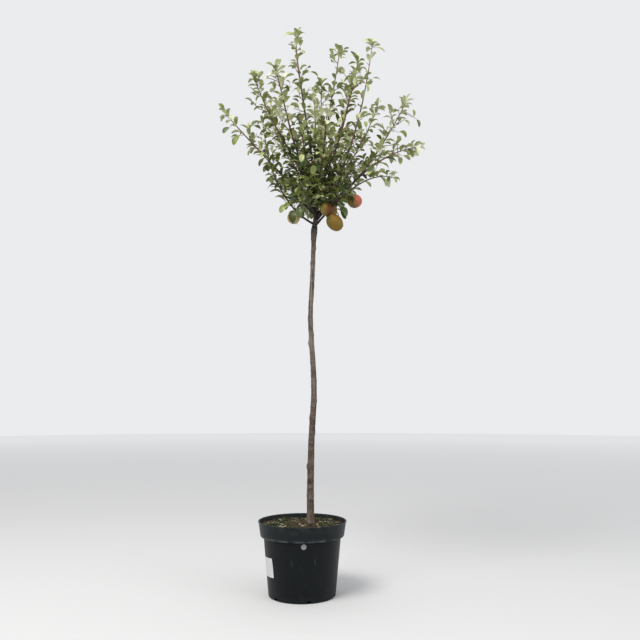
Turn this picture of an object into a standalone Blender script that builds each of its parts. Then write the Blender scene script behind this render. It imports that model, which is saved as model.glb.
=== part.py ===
"""Flowering quince grown as a half-standard in a round black nursery pot.

Units are metres, +Z is up, +Y runs away from the viewer and the origin is the
centre of the pot's flat underside.  Pot, soil and trunk carry a head of
tapering boughs.  Each bough ends in one mass of foliage: a stem with side
twigs, leaves and here and there a fruit, fused into one solid.  The smallest
limbs have no bare bough, so their stem starts at the trunk.
"""
import math
import random
from typing import NamedTuple

import bmesh
import bpy
import numpy as np
from mathutils import Matrix, Vector
from mathutils.bvhtree import BVHTree

UP = Vector((0.0, 0.0, 1.0))
GAP = 0.0003            # clear space left between neighbouring solids
WELD = 0.00001

# Pot
POT_SIDES = 32
POT_RIM_RADIUS = 0.1400
POT_HEIGHT = 0.2285
POT_BAND_HEIGHT = 0.0460
POT_BAND_LOW_RADIUS = 0.1340
POT_BODY_TOP_RADIUS = 0.1236
POT_BASE_RADIUS = 0.1067
POT_WALL = 0.0024
POT_FLOOR = 0.0035
POT_LIP = 0.0016        # how far the rim's bead stands out
POT_LIP_HEIGHT = 0.0044
POT_LIP_BEVEL = 0.0010
POT_BAND_STEP = 0.0015
POT_CHAMFER = 0.0022

# Blind drain notches round the foot of the pot
NOTCH_COUNT = 6
NOTCH_TURN = math.radians(-77.0)
NOTCH_WIDTH = 0.0150
NOTCH_HEIGHT = 0.0060
NOTCH_DEPTH = 0.0013
NOTCH_CUTTER = 0.0200

# Raised plain disc on the front of the pot
DISC_RADIUS = 0.0085
DISC_DEPTH = 0.0006
DISC_SUNK = 0.0012
DISC_HEIGHT = 0.1690
DISC_TURN = math.radians(-86.5)
DISC_SIDES = 16

# Soil
SOIL_LEVEL = 0.2188
SOIL_EDGE_LEVEL = 0.2100
SOIL_EDGE_DROP = 0.0050
SOIL_ROUGHNESS = 0.0022
SOIL_LUMPS = (          # height, waves and shift along X, waves and shift along Y
    (1.0, 71.0, 1.3, 83.0, 1.2),
    (0.6, 137.0, -2.1, 121.0, 0.7),
)
SOIL_RINGS = 5
SOIL_FLAT_RADIUS = 0.0380
SOIL_EASE = 0.0200

# Trunk, from the flat cut on the soil to the pruned tip of the leader
TRUNK_RESOLUTION = 3
TRUNK_RINGS = 34
FLARE_RINGS = (0.0, 0.5, 1.1, 2.0, 3.4)     # as shares of the flare's height
TRUNK_FOOT = SOIL_LEVEL + GAP
TRUNK_TIP = 1.4000
TRUNK_WAY = (           # height, sideways place and depth of the centreline
    (0.2191, 0.0262, 0.000),
    (0.3300, 0.0258, 0.002),
    (0.4800, 0.0288, 0.004),
    (0.6500, 0.0366, 0.001),
    (0.8800, 0.0250, -0.004),
    (1.0300, 0.0313, -0.002),
    (1.1800, 0.0364, 0.002),
    (1.2500, 0.0430, 0.003),
    (1.4000, 0.0450, 0.000),
)
TRUNK_SLIM = 0.0152     # diameter of the upper stem
TRUNK_STOUT = 0.0088    # what the foot has over it
TRUNK_SLIM_HEIGHT = 1.0000
ROOT_FLARE = 0.0070
ROOT_FLARE_HEIGHT = 0.0130
GRAFT_HEIGHT = 1.1820
GRAFT_SWELL = 0.0072
GRAFT_LENGTH = 0.0240
LEADER_TIP_DIAMETER = 0.0092


class Limb(NamedTuple):
    """One limb: a curve from its root on the leader to its tip."""

    name: str
    height: float           # of its root
    turn: float             # compass turn from +X in degrees
    reach: float
    rise: float
    out: float = 0.70       # place of its bend, as a share of the reach
    up: float = 0.50        # and as a share of the rise
    radius: float = 0.0042  # at the root
    bare: float = 0.18      # share that is bare bough
    twig: float = 0.110     # length of its side twigs
    step: float = 0.033     # between two nodes that bear a twig or leaves


LIMBS = (
    Limb("left_leader", 1.352, 204, 0.073, 0.524, 1.35, 1.00, bare=0.16, twig=0.050),
    Limb("left", 1.312, 198, 0.227, 0.400, up=0.55, twig=0.085),
    Limb("far_left", 1.258, 175, 0.326, 0.366, 0.60, 0.58, 0.0046, 0.20, 0.060),
    Limb("low_left", 1.208, 199, 0.187, 0.342, 0.85, 0.18, 0.0036, 0.16, 0.055),
    Limb("mid_back", 1.374, 50, 0.131, 0.533, 0.75, 0.65, 0.0040, 0.16, 0.060),
    Limb("mid_front", 1.326, 325, 0.170, 0.427, 0.95, 0.70, twig=0.065),
    Limb("right_leader", 1.270, 349, 0.200, 0.580, 0.70, 0.22, 0.0050, 0.26, 0.055),
    Limb("right", 1.247, 7, 0.326, 0.428, 0.50, 0.22, 0.0046, 0.20, 0.100),
    Limb("far_right", 1.218, 342, 0.350, 0.222, 0.60, 1.00, 0.0040, 0.20, 0.080),
    Limb("low_right", 1.200, 2, 0.271, 0.178, 0.62, 1.20, 0.0036, 0.22, 0.045),
    Limb("mid_right", 1.310, 34, 0.279, 0.408, 0.55, 0.25, 0.0036, 0.0, 0.075),
    Limb("fruiting", 1.240, 314, 0.150, 0.040, 0.60, 0.40, 0.0034, twig=0.070),
    Limb("front_left", 1.280, 242, 0.270, 0.368, twig=0.090),
    Limb("front", 1.254, 277, 0.290, 0.215, 0.60, 0.60, twig=0.090),
    Limb("front_right", 1.297, 300, 0.250, 0.333, twig=0.090),
    Limb("low_front", 1.228, 256, 0.180, 0.055, 0.60, 0.70, 0.0034, 0.34, 0.085),
    Limb("back_left", 1.300, 130, 0.280, 0.392, 0.65, twig=0.085),
    Limb("back", 1.340, 92, 0.250, 0.475, 0.80, 0.50, 0.0040, 0.16, 0.080),
    Limb("back_right", 1.285, 62, 0.280, 0.355, 0.65, 0.55, twig=0.100),
    Limb("low_back", 1.228, 100, 0.230, 0.136, 0.60, 0.80, 0.0036, twig=0.100),
    Limb("low_back_left", 1.240, 146, 0.150, 0.150, 0.60, 0.80, 0.0034, twig=0.080),
    Limb("low_back_right", 1.236, 52, 0.200, 0.154, 0.70, 0.60, 0.0032, 0.0, 0.085),
    Limb("heart_left", 1.334, 232, 0.080, 0.190, 0.90, 0.40, 0.0032, 0.0, 0.080, 0.026),
    Limb("heart_right", 1.348, 287, 0.062, 0.340, 0.90, 0.40, 0.0032, 0.0, 0.070, 0.026),
    Limb("heart_back", 1.330, 155, 0.080, 0.190, 0.90, 0.40, 0.0032, 0.0, 0.080, 0.026),
    Limb("heart_side", 1.322, 24, 0.085, 0.180, 0.90, 0.40, 0.0032, 0.0, 0.080, 0.026),
    Limb("heart_low", 1.238, 222, 0.120, 0.085, 0.80, 0.50, 0.0030, 0.0, 0.080, 0.024),
    Limb("heart_front", 1.246, 280, 0.110, 0.060, 0.80, 0.50, 0.0030, 0.0, 0.080, 0.024),
    Limb("heart_low_right", 1.311, 333, 0.135, 0.066, 0.80, 0.50, 0.0030, 0.0, 0.075, 0.024),
)
LIMB_TIP_RADIUS = 0.0010
LIMB_SLIMMING = 0.8
LIMB_WEAVE = 0.0030     # how far a limb weaves about its curve
LIMB_WEAVES = 3.0       # half waves from its root to its tip
LIMB_WEAVE_SHIFT = 3.0  # radians for each radian that the limb is turned
BOUGH_RESOLUTION = 1
BOUGH_STEP = 0.030
STEM_RESOLUTION = 0
STEM_STEP = 0.045

# Twigs
SEED = 119
LATERAL_EVERY = 2       # every other node bears a side twig
LATERALS_UP_TO = 0.93   # and none past this share of the limb
NODE_SETBACK = 0.35     # of a node, as a share of the space between two
GOLDEN_TURN = math.radians(137.5)
TWIG_RADIUS = 0.00125
TWIG_MIDDLE_RADIUS = 0.00106
TWIG_TIP_RADIUS = 0.00080
TWIG_SPLAY = math.radians(50.0)
TWIG_LIFT = 0.22
TWIG_FALLOFF = 0.45     # how much shorter side twigs get towards the limb's tip
TWIG_END = 0.98         # share of a twig where its last leaf sits
UNEVEN = 0.20           # spread of lengths and angles about their mean
TWIG_BEND = 0.24        # how far a twig turns aside at its middle
TWIG_SHORTENINGS = (1.0, 0.8, 0.6, 0.42)
TWIG_TEST_SHARES = (0.2, 0.35, 0.5, 0.65, 0.8, 1.0)

# Leaves, a little larger than life
LEAF_STEP = 0.025
LEAF_LENGTH = 0.0475
LEAF_WIDTH = 0.56       # as a share of the length, like the four below
LEAF_WIDEST = 0.47
LEAF_RIDGE = 0.42
LEAF_ROOT = 0.010
LEAF_ARCH = 0.13
LEAF_THICKNESS = 0.030
LEAF_SPLAY = math.radians(48.0)
LEAF_LIFT = (-0.25, 0.30)
LEAF_TIPPING = 0.70     # how far a leaf may tip off level, to the side
LEAF_LEVEL = (0.45, 0.95)   # and how strongly it faces the sky
LEAF_FALLOFF = 0.12     # how much smaller leaves get towards the limb's tip
LEAF_TRIES = 6
LEAF_SHRINK = 0.94      # of a leaf after each failed try
LEAF_SWING = 0.5        # and how far it then turns away
SPUR_TURNS = (-0.6, 0.9)    # where a spur's two leaves stand
SPUR_STEP = 0.007
TIP_SPLAYS = (0.30, 1.30, 1.90)     # of the leaves at a limb's tip
TIP_STEP = 0.005
TIP_SIZE = 0.82

# A mass keeps this far from the middle line between it and the next mass, and
# this far from other wood and fruit.  Its own leaves and twigs keep clear of
# its own wood by the margins below.
CELL_MARGIN = 0.0018
WOOD_MARGIN = 0.0016
LEAF_MARGIN = 0.0032
TWIG_MARGIN = 0.0060
TWIG_LEAF_MARGIN = 0.0030
SAMPLE_STEP = 0.006


class Fruit(NamedTuple):
    """One fruit that hangs from a limb on a short stalk."""

    limb: str
    share: float            # where its stalk leaves the limb
    centre: tuple
    radius: float
    half: float             # half its height
    tilt: float             # of its axis towards +X, in degrees


FRUITS = (
    Fruit("fruiting", 0.50, (0.1060, -0.064, 1.1955), 0.0252, 0.0320, -42.0),
    Fruit("fruiting", 0.40, (0.0782, -0.068, 1.2400), 0.0208, 0.0240, -12.0),
    Fruit("fruiting", 0.93, (0.1715, -0.070, 1.2675), 0.0245, 0.0225, 8.0),
    Fruit("low_left", 0.24, (-0.0316, -0.046, 1.2163), 0.0210, 0.0200, 10.0),
    Fruit("low_back_right", 0.45, (0.0980, 0.080, 1.2830), 0.0205, 0.0220, 0.0),
)
FRUIT_SEGMENTS = 9
FRUIT_RINGS = 6
STALK_RADIUS = 0.0016
STALK_SUNK = 0.75       # share of the fruit's half height
POLE_FLATNESS = 0.92    # height of a fruit's poles, as a share of a full egg's

POT_COLOUR = (0.018, 0.021, 0.024, 1.0)
SOIL_COLOUR = (0.085, 0.055, 0.035, 1.0)
TRUNK_COLOUR = (0.170, 0.130, 0.100, 1.0)
BOUGH_COLOUR = (0.190, 0.105, 0.065, 1.0)
LEAF_COLOUR = (0.115, 0.190, 0.045, 1.0)
LEAF_SHADE = 0.85       # of the darkest mass
LEAF_SHADE_STEP = 0.03
LEAF_SHADES = 10


def material(name, colour, roughness):
    """One Principled material in a plain colour."""
    mat = bpy.data.materials.new(name)
    mat.use_nodes = True
    shader = mat.node_tree.nodes["Principled BSDF"]
    shader.inputs["Base Color"].default_value = colour
    shader.inputs["Roughness"].default_value = roughness
    return mat


def new_collection(name):
    collection = bpy.data.collections.new(name)
    bpy.context.scene.collection.children.link(collection)
    return collection


def add_object(name, data, collection, mat=None):
    obj = bpy.data.objects.new(name, data)
    collection.objects.link(obj)
    if mat is not None:
        data.materials.append(mat)
    return obj


def add_shape(name, shape, collection, mat=None):
    """Turn a bmesh into an object."""
    mesh = bpy.data.meshes.new(name)
    shape.to_mesh(mesh)
    shape.free()
    return add_object(name, mesh, collection, mat)


def evaluated_mesh(obj):
    """The mesh that an object's curve or modifiers make."""
    bpy.context.view_layer.update()
    graph = bpy.context.evaluated_depsgraph_get()
    return bpy.data.meshes.new_from_object(obj.evaluated_get(graph))


def remove_object(obj):
    data = obj.data
    bpy.data.objects.remove(obj, do_unlink=True)
    if isinstance(data, bpy.types.Mesh):
        if data.users == 0:
            bpy.data.meshes.remove(data)
    else:
        bpy.data.curves.remove(data)


def lathe(name, profile, collection, mat):
    """Turn a profile in the XZ plane round the Z axis with a Screw modifier."""
    mesh = bpy.data.meshes.new(name)
    edges = [(i, i + 1) for i in range(len(profile) - 1)]
    mesh.from_pydata([(r, 0.0, z) for r, z in profile], edges, [])
    obj = add_object(name, mesh, collection, mat)
    screw = obj.modifiers.new("turn", "SCREW")
    screw.axis = "Z"
    screw.steps = POT_SIDES
    screw.render_steps = POT_SIDES
    screw.use_merge_vertices = True
    screw.merge_threshold = WELD
    screw.use_smooth_shade = True
    return obj


def tapering_curve(name, points, radii, resolution, collection):
    """A curve object whose round section follows the given radii."""
    curve = bpy.data.curves.new(name, "CURVE")
    curve.dimensions = "3D"
    curve.bevel_depth = 1.0
    curve.bevel_resolution = resolution
    curve.use_fill_caps = True
    spline = curve.splines.new("POLY")
    spline.points.add(len(points) - 1)
    for place, point, radius in zip(spline.points, points, radii):
        place.co = (*point, 1.0)
        place.radius = radius
    return add_object(name, curve, collection)


def limb_tube(name, points, radii, resolution, collection, mat=None, profile=None):
    """A closed tapering tube as a mesh, round or with the given profile."""
    guide = tapering_curve(name + "_guide", points, radii, resolution, collection)
    if profile is not None:
        guide.data.bevel_mode = "OBJECT"
        guide.data.bevel_object = profile
    mesh = evaluated_mesh(guide)
    remove_object(guide)
    mesh.name = name
    shape = bmesh.new()
    shape.from_mesh(mesh)
    bmesh.ops.remove_doubles(shape, verts=shape.verts, dist=WELD)
    bmesh.ops.recalc_face_normals(shape, faces=shape.faces)
    shape.to_mesh(mesh)
    shape.free()
    mesh.shade_smooth()
    mesh.set_sharp_from_angle(angle=math.radians(50.0))
    return add_object(name, mesh, collection, mat)


def boolean(obj, kind, cutter=None, collection=None):
    """Add one Boolean modifier that works with an object or a collection."""
    mod = obj.modifiers.new(kind.lower(), "BOOLEAN")
    mod.operation = kind
    if collection is None:
        mod.object = cutter
    else:
        mod.operand_type = "COLLECTION"
        mod.collection = collection


def apply_modifiers(obj):
    """Replace an object's mesh by what its modifiers make of it."""
    mesh = evaluated_mesh(obj)
    old = obj.data
    obj.modifiers.clear()
    obj.data = mesh
    mesh.name = obj.name
    bpy.data.meshes.remove(old)


def keep_outer_shell(obj):
    """Drop loose scraps and fill any pocket that fusing sealed."""
    shape = bmesh.new()
    shape.from_mesh(obj.data)
    left = set(shape.faces)
    shells = []
    while left:
        waiting = [left.pop()]
        shell = []
        while waiting:
            face = waiting.pop()
            shell.append(face)
            for edge in face.edges:
                for neighbour in edge.link_faces:
                    if neighbour in left:
                        left.remove(neighbour)
                        waiting.append(neighbour)
        shells.append(shell)
    shells.sort(key=len)
    spare = [face for shell in shells[:-1] for face in shell]
    bmesh.ops.delete(shape, geom=spare, context="FACES")
    shape.to_mesh(obj.data)
    shape.free()


def square_to(direction):
    """A unit vector square to the given one."""
    other = UP if abs(direction.z) < 0.9 else Vector((1.0, 0.0, 0.0))
    return direction.cross(other).normalized()


def smooth_way(height):
    """Sideways place and depth of the trunk, smoothly through its rows."""
    rows = TRUNK_WAY
    last = len(rows) - 1
    i = 0
    while i < last - 1 and height > rows[i + 1][0]:
        i += 1
    near = [rows[min(max(k, 0), last)] for k in (i - 1, i, i + 1, i + 2)]
    span = near[2][0] - near[1][0]
    u = min(max((height - near[1][0]) / span, 0.0), 1.0)
    place = []
    for axis in (1, 2):
        slope_in = (near[2][axis] - near[0][axis]) / (near[2][0] - near[0][0]) * span
        slope_out = (near[3][axis] - near[1][axis]) / (near[3][0] - near[1][0]) * span
        place.append(
            (2 * u ** 3 - 3 * u ** 2 + 1) * near[1][axis]
            + (u ** 3 - 2 * u ** 2 + u) * slope_in
            + (3 * u ** 2 - 2 * u ** 3) * near[2][axis]
            + (u ** 3 - u ** 2) * slope_out
        )
    return place


def trunk_point(height):
    x, y = smooth_way(height)
    return Vector((x, y, height))


def trunk_radius(height):
    """True taper with root flare, graft swelling and slimming leader."""
    above = max(height - TRUNK_FOOT, 0.0)
    low = max(1.0 - above / (TRUNK_SLIM_HEIGHT - TRUNK_FOOT), 0.0)
    size = TRUNK_SLIM + TRUNK_STOUT * low ** 1.2
    size += ROOT_FLARE * math.exp(-above / ROOT_FLARE_HEIGHT)
    size += GRAFT_SWELL * math.exp(-((height - GRAFT_HEIGHT) / GRAFT_LENGTH) ** 2)
    fork = GRAFT_HEIGHT + 2.5 * GRAFT_LENGTH
    if height > fork:
        size += (LEADER_TIP_DIAMETER - TRUNK_SLIM) * (height - fork) / (TRUNK_TIP - fork)
    return 0.5 * size


def limb_away(limb):
    turn = math.radians(limb.turn)
    return Vector((math.cos(turn), math.sin(turn), 0.0))


def limb_point(limb, share):
    """Place on a limb from its root (0) to its tip (1)."""
    away = limb_away(limb)
    root = trunk_point(limb.height)
    bend = root + away * limb.reach * limb.out + UP * limb.rise * limb.up
    tip = root + away * limb.reach + UP * limb.rise
    rest = 1.0 - share
    point = root * rest ** 2 + bend * 2.0 * share * rest + tip * share ** 2
    phase = math.pi * LIMB_WEAVES * share + LIMB_WEAVE_SHIFT * math.radians(limb.turn)
    weave = LIMB_WEAVE * math.sin(phase) * min(4.0 * share, 1.0) * (1.2 - share)
    return point + UP.cross(away) * weave


def limb_length(limb):
    points = [limb_point(limb, i / 24) for i in range(25)]
    return sum((b - a).length for a, b in zip(points, points[1:]))


def limb_radius(limb, share):
    return LIMB_TIP_RADIUS + (limb.radius - LIMB_TIP_RADIUS) * max(1.0 - share, 0.0) ** LIMB_SLIMMING


def limb_heading(limb, share):
    before = limb_point(limb, max(share - 0.02, 0.0))
    after = limb_point(limb, min(share + 0.02, 1.0))
    return (after - before).normalized()


def bough_shares(limb):
    """Shares of a limb at which the rings of its bare bough lie."""
    count = max(int(limb_length(limb) * limb.bare / BOUGH_STEP), 2)
    return [limb.bare * i / count for i in range(count + 1)]


def stem_shares(limb):
    """Shares of a limb at which the rings of its leafy stem lie.

    The stem starts clear of the bough's flat end, also on the inside of a
    bend, where the two flat ends lean towards each other.
    """
    length = limb_length(limb)
    start = limb.bare
    count = max(int(length * (1.0 - start) / STEM_STEP), 3)
    if limb.bare > 0.0:
        joint = limb_point(limb, limb.bare)
        before = joint - limb_point(limb, bough_shares(limb)[-2])
        after = limb_point(limb, start + (1.0 - start) / count) - joint
        lean = limb_radius(limb, limb.bare) * math.tan(before.angle(after))
        start += (GAP + lean) / length
    return [start + (1.0 - start) * i / count for i in range(count + 1)]


def limb_samples(limb, start, end):
    """Shares close together along part of a limb, for measuring distances."""
    count = max(int(limb_length(limb) * (end - start) / SAMPLE_STEP), 4)
    return [start + (end - start) * i / count for i in range(count + 1)]


class Surroundings:
    """Stems, bare wood and fruit that growth has to keep clear of."""

    def __init__(self):
        self.stems = []
        wood = []
        radii = []
        for limb in LIMBS:
            self.stems.append(np.array([limb_point(limb, s) for s in limb_samples(limb, limb.bare, 1.0)]))
            if limb.bare > 0.0:
                for share in limb_samples(limb, 0.0, limb.bare):
                    wood.append(limb_point(limb, share))
                    radii.append(limb_radius(limb, share))
        height = GRAFT_HEIGHT - 0.08
        while height < TRUNK_TIP:
            wood.append(trunk_point(height))
            radii.append(trunk_radius(height))
            height += SAMPLE_STEP
        for fruit in FRUITS:
            wood.append(Vector(fruit.centre))
            radii.append(max(fruit.radius, fruit.half))
        self.wood = np.array(wood)
        self.radii = np.array(radii)

    def has_room(self, index, points):
        """True where all points are in the mass's own space and clear of wood."""
        points = np.array([tuple(point) for point in points])
        own = spacing(points, self.stems[index]).min(axis=1)
        for other, stem in enumerate(self.stems):
            if other != index:
                nearer = spacing(points, stem).min(axis=1) - own
                if nearer.min() < 2.0 * CELL_MARGIN:
                    return False
        return (spacing(points, self.wood) - self.radii).min() > WOOD_MARGIN


def spacing(points, targets):
    """Distance from each point to each target."""
    return np.sqrt(((points[:, None, :] - targets[None, :, :]) ** 2).sum(axis=2))


def leaf_template():
    """A leaf one unit long as a sphere of three segments drawn out thin.

    Its poles are the root and the tip, and its middle is the two sides and
    the ridge.  It lies along +X with its upper side to +Z.
    """
    shape = bmesh.new()
    bmesh.ops.create_uvsphere(shape, u_segments=3, v_segments=2, radius=1.0)
    low, *middle, high = sorted(shape.verts, key=lambda vert: round(vert.co.z, 3))
    side, ridge, other = sorted(middle, key=lambda vert: round(vert.co.x - vert.co.y, 3))
    low.co = (-LEAF_ROOT, 0.0, 0.0)
    high.co = (1.0, 0.0, -LEAF_ARCH)
    side.co = (LEAF_WIDEST, -0.5 * LEAF_WIDTH, 0.0)
    ridge.co = (LEAF_RIDGE, 0.0, LEAF_THICKNESS)
    other.co = (LEAF_WIDEST, 0.5 * LEAF_WIDTH, 0.0)
    if shape.calc_volume(signed=True) < 0.0:
        bmesh.ops.reverse_faces(shape, faces=shape.faces)
    mesh = bpy.data.meshes.new("leaf")
    mesh.use_fake_user = True
    shape.to_mesh(mesh)
    shape.free()
    return mesh


def leaf_matrix(base, heading, facing, length):
    """Where a leaf lies: its root, its length along, its upper side."""
    side = facing.cross(heading).normalized()
    facing = heading.cross(side).normalized()
    turn = Matrix((heading, side, facing)).transposed().to_4x4()
    return Matrix.Translation(base) @ turn @ Matrix.Scale(length, 4)


def leaf_facing(heading, rng):
    """Upper side of a leaf: to the sky, tipped at random."""
    up = Vector((rng.uniform(-1, 1), rng.uniform(-1, 1), 0.0)) * LEAF_TIPPING
    up.z = rng.uniform(*LEAF_LEVEL)
    up -= heading * up.dot(heading)
    if up.length < 0.15:
        up = square_to(heading)
    return up.normalized()


LEAF_TESTS = [Vector((x, y * 0.5 * LEAF_WIDTH, -LEAF_ARCH * max(x - LEAF_WIDEST, 0.0) / (1.0 - LEAF_WIDEST)))
              for x, y in ((0.18, 0.0), (0.33, 0.6), (0.33, -0.6), (LEAF_WIDEST, 1.0), (LEAF_WIDEST, 0.0),
                           (LEAF_WIDEST, -1.0), (0.74, 0.5), (0.74, -0.5), (1.0, 0.0))]


def twig_way(base, heading, length, bend):
    """Three points of a side twig that bends as it grows."""
    points = [base]
    for _ in range(2):
        points.append(points[-1] + heading * length / 2.0)
        heading = (heading + bend * TWIG_BEND + UP * TWIG_LIFT * 0.5).normalized()
    return points


def along(points, share):
    """Place and heading at a share of a polyline's length."""
    place = share * (len(points) - 1)
    i = min(int(place), len(points) - 2)
    step = points[i + 1] - points[i]
    return points[i] + step * (place - i), step.normalized()


class Growth:
    """Twigs and leaves of one limb, kept from running through each other."""

    def __init__(self, index, room, template):
        self.index = index
        self.limb = LIMBS[index]
        self.room = room
        self.rng = random.Random(SEED + index)
        self.corners = [vert.co.copy() for vert in template.vertices]
        self.faces = [tuple(face.vertices) for face in template.polygons]
        self.twigs = []
        self.leaves = []
        self.leaf_trees = []
        self.wood = [limb_point(self.limb, s) for s in limb_samples(self.limb, self.limb.bare, 1.0)]

    def clear_of_wood(self, points, margin):
        points = np.array([tuple(point) for point in points])
        wood = np.array([tuple(point) for point in self.wood])
        return spacing(points, wood).min() > margin

    def leaf(self, base, heading, length):
        """Grow one leaf, turned a little and smaller after each failed try."""
        rng = self.rng
        for _ in range(LEAF_TRIES):
            matrix = leaf_matrix(base, heading, leaf_facing(heading, rng), length)
            tests = [matrix @ point for point in LEAF_TESTS]
            if self.room.has_room(self.index, tests) and self.clear_of_wood(tests, LEAF_MARGIN):
                tree = BVHTree.FromPolygons([matrix @ corner for corner in self.corners], self.faces)
                if not any(tree.overlap(other) for other in self.leaf_trees):
                    self.leaves.append(matrix)
                    self.leaf_trees.append(tree)
                    return
            swing = Vector((rng.uniform(-1, 1), rng.uniform(-1, 1), rng.uniform(-0.8, 1)))
            heading = (heading + swing * LEAF_SWING).normalized()
            length *= LEAF_SHRINK

    def twig(self, base, heading, length, bend):
        """Grow one side twig, shorter after each failed try."""
        for shorten in TWIG_SHORTENINGS:
            way = twig_way(base, heading, length * shorten, bend)
            tests = [along(way, share)[0] for share in TWIG_TEST_SHARES]
            if not self.room.has_room(self.index, tests) or not self.clear_of_wood(tests, TWIG_MARGIN):
                continue
            near = [tree.find_nearest(point)[3] for tree in self.leaf_trees for point in tests]
            if near and min(near) < TWIG_LEAF_MARGIN:
                continue
            self.twigs.append(way)
            self.wood.extend(along(way, share / 12)[0] for share in range(2, 13))
            return way
        return None

    def uneven(self):
        """A random factor about one."""
        return self.rng.uniform(1.0 - UNEVEN, 1.0 + UNEVEN)

    def splayed(self, heading, side):
        """A leaf's direction: off its twig to one side, and up or down a little."""
        splay = LEAF_SPLAY * self.uneven()
        out = heading * math.cos(splay) + side * math.sin(splay)
        return (out + UP * self.rng.uniform(*LEAF_LIFT)).normalized()

    def twig_leaves(self, way, size):
        """Leaves left and right along a twig and one at its tip."""
        length = 2.0 * (way[1] - way[0]).length
        count = max(int(length / LEAF_STEP), 2)
        flip = self.rng.choice((-1.0, 1.0))
        for k in range(1, count + 1):
            base, heading = along(way, (k - NODE_SETBACK) / count)
            out = self.splayed(heading, square_to(heading) * flip)
            self.leaf(base, out, size * self.uneven())
            flip = -flip
        base, heading = along(way, TWIG_END)
        self.leaf(base, heading, size * self.uneven())

    def spur_leaves(self, base, heading, side, size):
        """Two leaves straight from the stem."""
        for k, turn in enumerate(SPUR_TURNS):
            swing = side * math.cos(turn) + heading.cross(side) * math.sin(turn)
            out = self.splayed(heading, swing)
            self.leaf(base + heading * SPUR_STEP * k, out, size * self.uneven())

    def tip_leaves(self):
        heading = limb_heading(self.limb, 1.0)
        side = square_to(heading)
        for k, splay in enumerate(TIP_SPLAYS):
            base = limb_point(self.limb, 1.0) - heading * TIP_STEP * (k + 0.5)
            turn = k * GOLDEN_TURN
            swing = side * math.cos(turn) + heading.cross(side) * math.sin(turn)
            out = (heading + swing * splay).normalized()
            self.leaf(base, out, LEAF_LENGTH * TIP_SIZE * self.uneven())

    def run(self):
        """Grow the whole limb from its first node to its tip."""
        limb = self.limb
        rng = self.rng
        leafy = limb_length(limb) * (1.0 - limb.bare)
        nodes = max(int(leafy / limb.step), 4)
        turn = rng.uniform(0.0, 2.0 * math.pi)
        for i in range(1, nodes + 1):
            share = i / nodes
            place = limb.bare + (1.0 - limb.bare) * (i - NODE_SETBACK) / nodes
            base = limb_point(limb, place)
            heading = limb_heading(limb, place)
            turn += GOLDEN_TURN
            level = square_to(heading)
            side = level * math.cos(turn) + heading.cross(level) * math.sin(turn)
            size = LEAF_LENGTH * (1.0 - LEAF_FALLOFF * share)
            way = None
            if i % LATERAL_EVERY == 1 and share < LATERALS_UP_TO:
                length = limb.twig * self.uneven() * (1.0 - TWIG_FALLOFF * share)
                splay = TWIG_SPLAY * self.uneven()
                out = heading * math.cos(splay) + side * math.sin(splay)
                out = (out + UP * TWIG_LIFT).normalized()
                bend = Vector((rng.uniform(-1, 1), rng.uniform(-1, 1), rng.uniform(-0.5, 0.7)))
                way = self.twig(base, out, length, bend)
            if way is None:
                self.spur_leaves(base, heading, side, size)
            else:
                self.twig_leaves(way, size)
        self.tip_leaves()


def pot_outside():
    """Profile of the pot from its rim down its outer side to the axis."""
    top = POT_HEIGHT
    band = POT_HEIGHT - POT_BAND_HEIGHT
    return [
        (POT_RIM_RADIUS - 0.5 * POT_LIP, top),
        (POT_RIM_RADIUS + POT_LIP, top - POT_LIP_BEVEL),
        (POT_RIM_RADIUS + POT_LIP, top - POT_LIP_HEIGHT),
        (POT_RIM_RADIUS, top - POT_LIP_HEIGHT - POT_LIP_BEVEL),
        (POT_BAND_LOW_RADIUS, band),
        (POT_BAND_LOW_RADIUS - POT_BAND_STEP, band - POT_BAND_STEP),
        (POT_BODY_TOP_RADIUS, band - 1.5 * POT_BAND_STEP),
        (POT_BASE_RADIUS, POT_CHAMFER),
        (POT_BASE_RADIUS - POT_CHAMFER, 0.0),
        (0.0, 0.0),
    ]


def pot_inside(inset=0.0):
    """Profile of the pot's inside from the axis up, or of what fills it."""
    band = POT_HEIGHT - POT_BAND_HEIGHT
    wall = POT_WALL + inset
    return [
        (0.0, POT_FLOOR + inset),
        (POT_BASE_RADIUS - wall - POT_CHAMFER, POT_FLOOR + inset),
        (POT_BASE_RADIUS - wall, POT_FLOOR + POT_CHAMFER + inset),
        (POT_BODY_TOP_RADIUS - wall, band + inset),
        (POT_BAND_LOW_RADIUS - wall, band + 2.0 * POT_BAND_STEP + inset),
        (POT_RIM_RADIUS - wall, POT_HEIGHT - POT_BAND_STEP),
    ]


def add_block(name, size, matrix, collection):
    shape = bmesh.new()
    bmesh.ops.create_cube(shape, size=1.0)
    bmesh.ops.scale(shape, vec=size, verts=shape.verts)
    block = add_shape(name, shape, collection)
    block.matrix_world = matrix
    return block


def facing_matrix(place, outward):
    """A frame whose +X faces outward and whose +Y lies level."""
    level = UP.cross(outward).normalized()
    turn = Matrix((outward, level, outward.cross(level))).transposed().to_4x4()
    return Matrix.Translation(place) @ turn


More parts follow.
